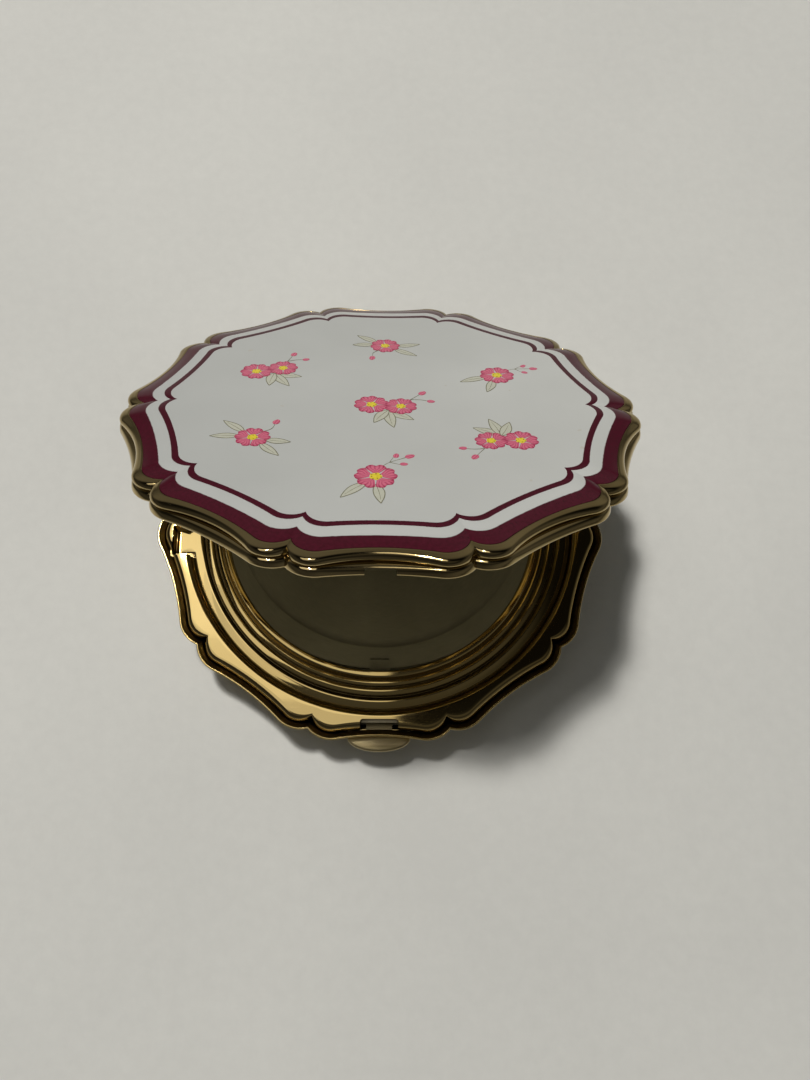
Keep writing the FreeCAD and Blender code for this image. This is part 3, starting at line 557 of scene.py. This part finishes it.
lookup = plaque.data.attributes.new("band", "FLOAT", "POINT")
values = np.concatenate([np.repeat(bands, N_LOBE * 10), [0.0, 4.5]])
lookup.data.foreach_set("value", values.astype(np.float32))
finish_mesh(plaque, ENAMEL, "lid", ("enamel_plaque",), 40.0, True)

# -------------------------------------------------------------------- sprigs
# Blossoms of five notched petals with buds and narrow leaves, printed on the
# enamel: thin flat prisms that stand a few hundredths of a millimetre proud,
# each print a little higher than the one laid before it.
FACE = 12.15
laid = [0]
print_verts, print_faces, print_mats, print_out, print_across = [], [], [], [], []


def stamp(flat, height, mat, out=None, across=None, hub=None):
    """A flat print; hub is the inner point that its fan of faces shares."""
    flat = np.asarray(flat, float)
    n, base = len(flat), len(print_verts)
    hub = flat.mean(0) if hub is None else np.asarray(hub, float)
    out = np.ones(n) if out is None else out
    across = np.zeros(n) if across is None else across
    for z in (FACE - 0.01, FACE + height):
        for (x, y), o, a in zip(flat, out, across):
            print_verts.append((x, y, z))
            print_out.append(o)
            print_across.append(a)
        print_verts.append((hub[0], hub[1], z))
        print_out.append(0.0)
        print_across.append(0.0)
    low, top = base, base + n + 1
    for j in range(n):
        k = (j + 1) % n
        for f in ((low + k, low + j, low + n), (top + j, top + k, top + n), (low + j, low + k, top + k, top + j)):
            print_faces.append(f)
            print_mats.append(mat)


def layer():
    """Height of the next print of a spray."""
    laid[0] += 1
    return 0.004 + 0.0025 * laid[0]


def spun(points, angle, at):
    c, s = math.cos(angle), math.sin(angle)
    p = np.asarray(points, float)
    return np.column_stack([at[0] + p[:, 0] * c - p[:, 1] * s, at[1] + p[:, 0] * s + p[:, 1] * c])


def blossom(at, size, turn, squash=1.0):
    petals, middle, dots = layer(), layer(), layer()
    for k in range(5):
        t = np.linspace(-1.0, 1.0, 23)
        wide = math.radians(35.6)
        reach = size * (1.0 - 0.16 * np.abs(t) ** 3.0 - 0.13 * np.exp(-(t / 0.22) ** 2))
        ang = t * wide
        rim = np.column_stack([reach * np.cos(ang), reach * np.sin(ang)])
        inner_t = np.linspace(1.0, -1.0, 7)
        r0 = 0.30 * size
        inner = np.column_stack([r0 * np.cos(inner_t * wide * 0.75), r0 * np.sin(inner_t * wide * 0.75)])
        petal = np.concatenate([rim, inner])
        out = np.concatenate([np.ones(len(rim)), np.full(len(inner), 0.25)])
        across = np.concatenate([t, inner_t]) * 1.6
        a = turn + k * 2 * math.pi / 5
        flat = spun(petal, a, (0, 0))
        flat[:, 1] *= squash
        hub = spun([(0.62 * size, 0.0)], a, (0, 0))[0] * (1.0, squash)
        stamp(flat + at, petals, 0, out, across, hub + at)
    t = np.linspace(0, 2 * math.pi, 20, endpoint=False)
    disc = 0.285 * size * (1 + 0.10 * np.cos(5 * t + 0.4))
    stamp(np.column_stack([disc * np.cos(t), disc * np.sin(t) * squash]) + at, middle, 1)
    for k in range(7):
        a = turn + 0.3 + k * 2 * math.pi / 7
        r = size * (0.19 if k % 2 else 0.25)
        d = np.linspace(0, 2 * math.pi, 8, endpoint=False)
        dot = np.column_stack([np.cos(d), np.sin(d)]) * size * 0.035
        stamp(dot + (at[0] + r * math.cos(a), at[1] + r * math.sin(a) * squash), dots, 2)


def stroke(points, width, mat, taper=True):
    height = layer()
    p = smooth([(x, y) for x, y in points], 0.25)
    d = np.gradient(p, axis=0)
    d /= np.linalg.norm(d, axis=1)[:, None] + 1e-9
    nrm = np.column_stack([-d[:, 1], d[:, 0]])
    w = width * (np.linspace(1.0, 0.45, len(p)) if taper else np.ones(len(p)))
    for i in range(len(p) - 1):
        a, b = p[i] + nrm[i] * w[i] / 2, p[i] - nrm[i] * w[i] / 2
        c, e = p[i + 1] - nrm[i + 1] * w[i + 1] / 2, p[i + 1] + nrm[i + 1] * w[i + 1] / 2
        stamp([a, b, c, e], height, mat)


def leaf(at, angle, length, width, bend=0.15):
    t = np.linspace(0.0, 1.0, 12)
    half = width / 2 * np.sin(math.pi * t ** 0.85) ** 0.9
    mid = bend * length * t ** 2
    up = np.column_stack([length * t, mid + half])
    low = np.column_stack([length * t[::-1], (mid - half)[::-1]])
    shape = spun(np.concatenate([up, low[1:-1]]), angle, at)
    stamp(shape, layer(), 4)
    loop = np.concatenate([shape, shape[:1]])
    stroke(loop[:12], 0.13, 3, False)
    stroke(loop[11:], 0.13, 3, False)
    stroke(spun(np.column_stack([length * t[:10], mid[:10]]), angle, at), 0.10, 3)


def bud(at, angle, size):
    t = np.linspace(0, 2 * math.pi, 18, endpoint=False)
    shape = np.column_stack([np.cos(t) * size * (1 + 0.15 * np.cos(t)), np.sin(t) * size * 0.72])
    stamp(spun(shape, angle, at), layer(), 0, np.full(18, 0.75), np.sin(t) * 0.7)


def sprig(x, y, turn, size, kind):
    """One spray: one or two blossoms, two to four leaves, a few buds on stalks."""
    def at(u, v):
        return tuple(spun([(u, v)], turn, (x, y))[0])

    def dir_(a):
        return turn + math.radians(a)

    s = size
    laid[0] = 0
    if kind == 0:      # pair of blossoms over fanned leaves
        for a, l in ((-58, 1.7), (-102, 1.9), (-140, 1.6)):
            leaf(at(0.05 * s, -0.45 * s), dir_(a), l * s, 0.62 * s)
        stroke([at(0.9 * s, 0.1 * s), at(1.7 * s, 0.65 * s), at(2.15 * s, 1.0 * s)], 0.14, 3)
        bud(at(2.3 * s, 1.1 * s), dir_(35), 0.26 * s)
        stroke([at(1.5 * s, 0.5 * s), at(2.1 * s, 0.35 * s), at(2.45 * s, 0.15 * s)], 0.12, 3)
        bud(at(2.55 * s, 0.1 * s), dir_(-20), 0.22 * s)
        blossom(at(-0.75 * s, 0.35 * s), 1.0 * s, dir_(20), 1.0)
        blossom(at(0.80 * s, -0.15 * s), 0.92 * s, dir_(60), 1.0)
    elif kind == 1:    # one blossom, a stalk with three buds, two leaves
        stroke([at(0.0, 0.3 * s), at(0.7 * s, 1.1 * s), at(1.75 * s, 1.55 * s)], 0.15, 3)
        for u, v, a, k in ((1.9, 1.62, 20, 0.26), (1.25, 1.75, 70, 0.21), (1.5, 0.95, -10, 0.20)):
            stroke([at(0.85 * s, 1.2 * s), at(u * 0.9 * s, v * 0.97 * s)], 0.11, 3)
            bud(at(u * s, v * s), dir_(a), k * s)
        leaf(at(-0.5 * s, -0.5 * s), dir_(-150), 1.75 * s, 0.55 * s)
        leaf(at(-0.1 * s, -0.7 * s), dir_(-80), 1.6 * s, 0.55 * s, -0.15)
        blossom(at(0, 0), 1.08 * s, dir_(10), 1.0)
    else:              # one blossom between two pairs of leaves, one bud
        for a, l in ((160, 1.8), (205, 1.6), (-25, 1.7), (15, 1.4)):
            r = math.radians(a)
            leaf(at(0.75 * s * math.cos(r), 0.6 * s * math.sin(r)), dir_(a), l * s, 0.52 * s, 0.1)
        stroke([at(0.1 * s, 0.7 * s), at(0.35 * s, 1.3 * s), at(0.2 * s, 1.85 * s)], 0.13, 3)
        bud(at(0.15 * s, 2.0 * s), dir_(100), 0.27 * s)
        blossom(at(0, 0), 1.0 * s, dir_(45), 1.0)


for px, py, pt, ps, pk in ((0.6, -1.5, 12, 2.8, 0), (0.4, 20.2, 160, 2.6, 2), (18.8, 9.6, -18, 2.7, 1),
                           (18.2, -11.2, 200, 2.7, 0), (-0.8, -21.6, 8, 2.85, 1), (-18.9, -11.4, -30, 2.7, 2),
                           (-18.4, 10.2, 35, 2.7, 0)):
    sprig(px, py, math.radians(pt), ps, pk)

prints = bpy.data.meshes.new("sprig_prints")
prints.from_pydata((np.array(print_verts) * MM).tolist(), [], print_faces)
sprigs = bpy.data.objects.new("sprig_prints", prints)
bpy.context.scene.collection.objects.link(sprigs)
for nm, vals in (("out", print_out), ("across", print_across)):
    prints.attributes.new(nm, "FLOAT", "POINT").data.foreach_set("value", np.array(vals, np.float32))
finish_mesh(sprigs, [PINK, YELLOW, DOT, LEAF, LEAF_PALE], "lid", (), 10.0, True)
prints.polygons.foreach_set("material_index", np.array(print_mats, np.int32))

# ----------------------------------------------------------------- lid liner
liner_section = rounded([(29.0, 10.05, 0.5), (29.9, 10.33, 0.5), (34.95, 10.33, 0.2), (35.0, 9.65, 0.12),
                         (35.5, 9.65, 0.12), (35.5, 10.58, 0.1), (30.0, 10.58, 0.0), (29.2, 10.3, 0.0)], False)
flat_in = [(r, 10.05) for r in (6.0, 12.0, 18.0, 24.0, 28.0)]
flat_top = [(r, 10.3) for r in (24.0, 12.0, 6.0)]
liner = raw("liner_pan", turned(flat_in + [tuple(p) for p in liner_section] + flat_top, 360, False))
cut(liner, box(-2.3, 2.3, -37.5, -34.7, 8.65, 10.36))
finish_mesh(liner, LINER, "lid", ("lid_liner",), 30.0, True)

# ---------------------------------------------------------------- base shell
RIM = np.array((37.5, 39.1, 38.2)) - 38.3


def fluted(r, share, z):
    return (*(r + share * RIM), z)


shell_rows = [
    smooth([fluted(24.0, 0, 0.0), fluted(26.3, 0, 0.0), fluted(27.3, 0.0, 0.03), fluted(28.6, 0.02, 0.17),
            fluted(30.0, 0.06, 0.45), fluted(33.0, 0.25, 1.3), fluted(36.0, 0.6, 3.2), fluted(37.6, 0.9, 5.6),
            fluted(38.02, 1.0, 7.4), fluted(38.26, 1.0, 8.0), fluted(38.56, 1.0, 8.34), fluted(38.62, 1.0, 8.45),
            fluted(38.57, 1.0, 8.52), fluted(38.47, 1.0, 8.545), fluted(38.34, 1.0, 8.54), fluted(38.24, 1.0, 8.49),
            fluted(38.05, 1.0, 8.30), fluted(37.78, 1.0, 8.08), fluted(37.52, 1.0, 7.85), fluted(37.40, 1.0, 7.2),
            fluted(37.05, 0.9, 5.6), fluted(35.4, 0.6, 3.45), fluted(32.5, 0.25, 1.8),
            fluted(29.4, 0.05, 0.95), fluted(26.9, 0.0, 0.6)], 0.12),
]
shell_rows = np.concatenate(shell_rows)
# fine steps at the rim, coarser ones on the broad walls
shell_rows = [row for i, row in enumerate(shell_rows) if row[3] > 6.6 or i % 3 == 0 or i == len(shell_rows) - 1]
shell = raw("base_dish", loft([ring(*row) for row in shell_rows]))
cut(shell, box(-5.8, 5.8, -45.0, -30.0, 5.6, 7.2), box(-7.6, 7.6, 34.6, 45.0, 5.0, 9.5))
finish_mesh(shell, SHELL_GOLD, "base", ("base_shell",), 30.0)

# ---------------------------------------------------------------- base frame
PLATE = np.array((36.46, 37.95, 36.5))
IN, TUCK = np.array((1.0, 1.0, 1.44)), np.array((1.0, 1.0, 0.5))
TOP, BEND, DEPTH = 9.3, 1.05, 0.85
frame_rings = [ring(*PLATE, z) for z in (7.25, 7.8, 8.02)]
frame_rings += [ring(*(PLATE + w), z) for w, z in ((0.05, 8.06), (0.07, 8.13), (0.07, 8.21), (0.05, 8.28), (0.0, 8.34))]
for a in np.radians(np.linspace(0, 90, 13)):
    frame_rings.append(ring(*(PLATE - TUCK * BEND * (1 - math.cos(a))), TOP - DEPTH + DEPTH * math.sin(a)))
last = outline(*(PLATE - TUCK * BEND))
hole = outline(34.62, 34.62, 34.62)
for f in (0.2, 0.4, 0.6, 0.8):
    frame_rings.append(lift(last * (1 - f) + hole * f, TOP))
for a in np.radians(np.linspace(0, 90, 12)):
    r = 34.62 - 0.62 * math.sin(a)
    frame_rings.append(ring(r, r, r, TOP - 0.6 * (1 - math.cos(a))))
for r, z in ((34.0, 8.4), (34.0, 8.0), (33.97, 7.75), (33.88, 7.52), (33.73, 7.34), (33.54, 7.23), (33.3, 7.17), (32.6, 7.15), (32.6, 6.65), (34.5, 6.65), (34.5, 8.7)):
    frame_rings.append(ring(r, r, r, z))
frame_rings += [ring(*(PLATE - IN * 0.5), 8.7), ring(*(PLATE - IN * 0.5), 7.25)]
plate = raw("base_plate", loft(frame_rings, True))
cut(plate,
    prism(rounded([(-3.2, -45.0, 0.0), (3.2, -45.0, 0.0), (3.2, -35.08, 0.5), (-3.2, -35.08, 0.5)]), 5.0, 12.0),
    box(-3.3, 3.3, -45.0, -33.75, 5.0, 8.68),
    prism(rounded([(-36.5, -6.85, 0.45), (-31.0, -6.85, 0.0), (-31.0, -1.5, 0.0), (-36.5, -1.5, 0.45)]), 7.15, 12.0),
    box(-7.6, 7.6, 35.4, 45.0, 5.0, 12.0))
finish_mesh(plate, GOLD, "base", ("base_frame",), 30.0)
pocket = raw("key_pocket", joined(box(-36.62, -34.2, -7.05, -1.3, 6.75, 7.12, 0.05), box(-36.72, -36.5, -7.0, -1.72, 6.9, 8.72, 0.05),
                                  box(-36.5, -34.3, -7.08, -6.86, 6.9, 8.72, 0.05), box(-36.3, -34.3, -1.49, -1.28, 6.9, 8.72, 0.05)))
finish_mesh(pocket, RING_GOLD, "base", (), 30.0)

# --------------------------------------------------------------- mirror ring
# outer edge with the key tab at the left, then flats and grooves, the bead
# beside the glass, and the plain underside
EDGE = 33.2
t_front, t_back = math.atan2(-5.95, -33.2), math.atan2(-2.0, -33.2)
arc_t = np.linspace(t_front + 0.004, t_back - 0.004 + 2 * math.pi, 440)
body_pts = np.column_stack([EDGE * np.cos(arc_t), EDGE * np.sin(arc_t)])
x_f, x_b = -math.sqrt(EDGE ** 2 - 5.95 ** 2), -math.sqrt(EDGE ** 2 - 2.0 ** 2)
tab_pts = rounded([(x_b, -2.0, 0.0), (-35.3, -2.0, 0.3), (-35.3, -5.95, 0.3), (x_f, -5.95, 0.0)], False, 8)
fill = [tab_pts[0]]
for p, q in zip(tab_pts[:-1], tab_pts[1:]):
    n = max(1, int(np.linalg.norm(q - p) / 0.18))
    fill += [p + (q - p) * (j + 1) / n for j in range(n)]
fill = np.array(fill)
edge_loop = np.concatenate([body_pts, fill])
tab_t = np.linspace(t_back + 2 * math.pi, t_front + 2 * math.pi, len(fill))
loop_t = np.concatenate([arc_t, tab_t])


def edge_in(w):
    """The outer edge drawn in by w."""
    nxt, prv = np.roll(edge_loop, -1, 0), np.roll(edge_loop, 1, 0)
    d = nxt - prv
    d /= np.linalg.norm(d, axis=1)[:, None]
    return edge_loop - np.column_stack([d[:, 1], -d[:, 0]]) * w


def round_at(r, z):
    return np.column_stack([r * np.cos(loop_t), r * np.sin(loop_t), np.full(len(loop_t), float(z))])


ring_rings = [lift(edge_loop, 7.15), lift(edge_loop, 7.36)]
for a in np.radians((30, 60, 90)):
    ring_rings.append(lift(edge_in(0.1 * (1 - math.cos(a))), 7.36 + 0.11 * math.sin(a)))
section = rounded([(33.02, 7.47, 0.0), (32.08, 7.65, 0.3), (31.82, 7.66, 0.25), (31.2, 7.30, 0.16), (30.94, 7.61, 0.16), (30.3, 7.74, 0.3), (30.05, 7.745, 0.25),
                   (29.58, 7.46, 0.16), (29.38, 7.74, 0.16), (28.93, 7.85, 0.2), (28.7, 7.855, 0.14), (28.48, 7.75, 0.1),
                   (28.08, 8.44, 0.2), (27.84, 8.655, 0.2), (27.08, 8.70, 0.16), (26.9, 8.42, 0.1), (26.86, 8.22, 0.03),
                   (27.72, 8.22, 0.0), (27.72, 6.95, 0.0), (32.3, 6.95, 0.0), (32.45, 7.15, 0.0)], False, 9)
ring_rings += [round_at(r, z) for r, z in section]
roll_rings = []
for y, k in ((-5.95, 0.72), (-5.91, 0.9), (-5.83, 1.0), (-2.22, 1.0), (-2.14, 0.9), (-2.1, 0.72)):
    a = np.linspace(0, 2 * math.pi, 40, endpoint=False)
    roll_rings.append(np.column_stack([-35.9 + 0.34 * k * np.cos(a), np.full(40, y), 7.58 + 0.34 * k * np.sin(a)]))
mirror_ring = raw("grooved_ring", loft(ring_rings, True))
finish_mesh(mirror_ring, RING_GOLD, "base", ("mirror_ring",), 30.0)
roll = raw("tab_roll", joined(loft(roll_rings), box(-35.9, -35.0, -5.9, -2.1, 7.2, 7.34, 0.05)))
finish_mesh(roll, ROLL_GOLD, "base", (), 30.0)

glass = raw("mirror_disc", turned([(2.0, 8.2), (14.0, 8.2), (27.28, 8.2), (27.3, 8.2), (27.42, 8.17), (27.6, 8.0), (27.6, 7.22),
                                   (27.58, 7.2), (14.0, 7.2), (2.0, 7.2)], 360, False))
finish_mesh(glass, SILVER, "base", ("mirror_glass",), 5.0)

# -------------------------------------------------------------- thumb button
t = np.linspace(math.pi, 2 * math.pi, 90)
side = np.column_stack([np.full(10, 5.25), np.linspace(-38.0, -36.6, 11)[1:]])
front = np.concatenate([(side * (-1, 1))[::-1], np.column_stack([5.25 * np.cos(t), -38.0 + 2.2 * np.sin(t)]), side])
back = np.column_stack([np.linspace(5.25, -5.25, 40)[1:-1], np.full(38, -36.6)])
thumb = np.concatenate([front, back])


def thumb_in(w):
    d = np.roll(thumb, -1, 0) - np.roll(thumb, 1, 0)
    d /= np.linalg.norm(d, axis=1)[:, None]
    p = thumb - np.column_stack([d[:, 1], -d[:, 0]]) * w
    p[:, 1] = np.minimum(p[:, 1], -36.6)
    return p


thumb_rings = [lift(thumb_in(0.22), 5.9), lift(thumb_in(0.06), 5.97), lift(thumb, 6.12), lift(thumb, 6.5)]
for a in np.radians((15, 30, 45, 60, 75, 90)):
    thumb_rings.append(lift(thumb_in(0.42 * (1 - math.cos(a))), 6.5 + 0.38 * math.sin(a)))
core = np.array((0.0, -38.0))
face = thumb_in(0.42)
for f, z in ((0.85, 6.89), (0.6, 6.9), (0.3, 6.9)):
    thumb_rings.append(lift(core + (face - core) * f, z))
button = raw("thumb_piece", joined(loft(thumb_rings), box(-2.2, 2.2, -36.7, -33.2, 5.95, 6.35, 0.15)))
finish_mesh(button, CHAMPAGNE, "catch", ("thumb_button",), 35.0)

# ------------------------------------------------- looks of the other pieces
looks = {
    "catch_slide": WORN, "button_rivets": BRASS, "catch_guide": BRASS, "catch_strap": BRASS, "strap_rivets": BRASS,
    "mirror_back_plate": BRASS, "base_hinge_leaf": BRASS, "lid_hinge_leaf": BRASS, "lid_catch_hook": LINER,
    "hook_rivets": LINER, "catch_spring": STEEL, "hinge_pin": STEEL, "mirror_backing_card": CARD,
}
for name, mat in looks.items():
    me = nodes[name].data
    if not me.materials:
        me.materials.append(mat)
    for i in range(len(me.materials)):
        me.materials[i] = mat

# --------------------------------------------------------------------- stage
floor_me = bpy.data.meshes.new("table_top")
floor_me.from_pydata([(-1.6, -1.6, -0.00004), (1.6, -1.6, -0.00004), (1.6, 1.6, -0.00004), (-1.6, 1.6, -0.00004)], [], [(0, 1, 2, 3)])
floor = bpy.data.objects.new("table_top", floor_me)
bpy.context.scene.collection.objects.link(floor)
fm = Mat("pale_table", Roughness=0.62)
fb, ff = fm.noise(9.0, 4.0), fm.noise(420.0, 5.0, 0.65)
pale = fm.mix(fm.ramp(fm.math("ADD", fm.math("MULTIPLY", fb, 0.7), fm.math("MULTIPLY", ff, 0.3)), 0.38, 0.62),
              (0.618, 0.622, 0.598), (0.562, 0.566, 0.546))
# painted shade: the table is painted darker where it is seen at a grazing angle, and fades to near black from about 165
# mm to 420 mm out
away = fm.add("ShaderNodeVectorMath", operation="LENGTH")
fm.link(fm.at(), away.inputs[0])
low = fm.ramp(fm.add("ShaderNodeLayerWeight").outputs["Facing"], 0.37, 0.8, 0.0, 0.55)
pale = fm.mix(low, pale, (0.0, 0.0, 0.0))
fm.colour(fm.mix(fm.ramp(away.outputs["Value"], 0.165, 0.42, 0.0, 1.0, True), pale, (0.06, 0.058, 0.054)))
fm.bump(ff, 0.00002)
floor_me.materials.append(fm.m)


def area(name, at, to, size, power, shape="RECTANGLE", size_y=None, colour=(1, 1, 1)):
    d = bpy.data.lights.new(name, "AREA")
    d.shape, d.size, d.energy, d.color = shape, size, power, colour
    if size_y:
        d.size_y = size_y
    ob = bpy.data.objects.new(name, d)
    bpy.context.scene.collection.objects.link(ob)
    ob.location = at
    ob.rotation_mode = "QUATERNION"
    ob.rotation_quaternion = (Vector(to) - Vector(at)).to_track_quat("-Z", "Y")
    return ob


aim = (0.0, 0.0, 0.02)
area("key", (-0.315, 0.497, 1.5), aim, 0.09, 6.0, "DISK", colour=(1.0, 0.97, 0.92))
soft = area("key_soft", (-0.33, 0.477, 1.5), aim, 0.24, 15.5, "DISK", colour=(1.0, 0.97, 0.92))
soft.visible_glossy = False
area("panel_back", (-0.388, 0.385, 1.2), (-0.388, 0.385, 0.0), 0.824, 0.80, "RECTANGLE", 0.31, (1.0, 0.97, 0.93))
area("panel_mid", (-0.388, 0.185, 1.2), (-0.388, 0.185, 0.0), 0.824, 0.19, "RECTANGLE", 0.09, (1.0, 0.97, 0.93))
area("panel_front", (-0.388, 0.055, 1.2), (-0.388, 0.055, 0.0), 0.824, 0.25, "RECTANGLE", 0.17, (1.0, 0.97, 0.93))
area("panel_left", (-0.54, -0.12, 1.2), (-0.54, -0.12, 0.0), 0.52, 0.18, "RECTANGLE", 0.18, (1.0, 0.97, 0.93))
fill = area("fill", (0.35, -0.35, 0.9), aim, 0.6, 0.5, "RECTANGLE", 0.6, (0.97, 1.0, 0.92))
fill.visible_glossy = False

world = bpy.data.worlds.new("room")
bpy.context.scene.world = world
world.use_nodes = True
wt = world.node_tree
wt.nodes.clear()
w_out, w_bg = wt.nodes.new("ShaderNodeOutputWorld"), wt.nodes.new("ShaderNodeBackground")
wt.links.new(w_bg.outputs["Background"], w_out.inputs["Surface"])
room = Mat.__new__(Mat)
room.t = wt
room._at = room.add("ShaderNodeTexCoord").outputs["Generated"]
r_dir = room.add("ShaderNodeSeparateXYZ")
room.link(room.at(), r_dir.inputs[0])
low = room.ramp(r_dir.outputs[2], 0.25, 0.75, 1.0, 0.0, True)
sides = room.math("MULTIPLY", low, room.ramp(r_dir.outputs[0], -0.3, 0.6, 0.03, 0.07, True))
behind = room.math("MULTIPLY", room.ramp(r_dir.outputs[1], 0.5, 0.75, 0.0, 0.105, True), room.ramp(r_dir.outputs[2], 0.0, 0.2, 0.5, 1.0, True))
ahead = room.math("MULTIPLY", room.ramp(r_dir.outputs[1], 0.18, -0.12, 0.0, 0.045, True), room.ramp(r_dir.outputs[2], 0.7, 0.95, 0.2, 1.0, True))
glow = room.math("ADD", room.math("ADD", sides, behind), room.math("ADD", ahead, 0.004))
room.link(glow, w_bg.inputs["Strength"])
w_bg.inputs["Color"].default_value = (1.0, 0.97, 0.91, 1.0)

# -------------------------------------------------------------------- camera
cam_data = bpy.data.cameras.new("camera")
cam = bpy.data.objects.new("camera", cam_data)
bpy.context.scene.collection.objects.link(cam)
cam_data.lens, cam_data.sensor_width = 31.87, 36.0
cam_data.clip_start, cam_data.clip_end = 0.005, 20.0
look = Vector((0.0253, 0.3049, -0.9521)).normalized()
right = Vector((0.9996, 0.0015, 0.027))
right = (right - look * right.dot(look)).normalized()
up = right.cross(look)
cam.matrix_world = Matrix(((right.x, up.x, -look.x, -0.00002), (right.y, up.y, -look.y, -0.0552),
                           (right.z, up.z, -look.z, 0.1696), (0, 0, 0, 1)))
bpy.context.scene.camera = cam
bpy.context.scene.view_settings.view_transform = "Standard"
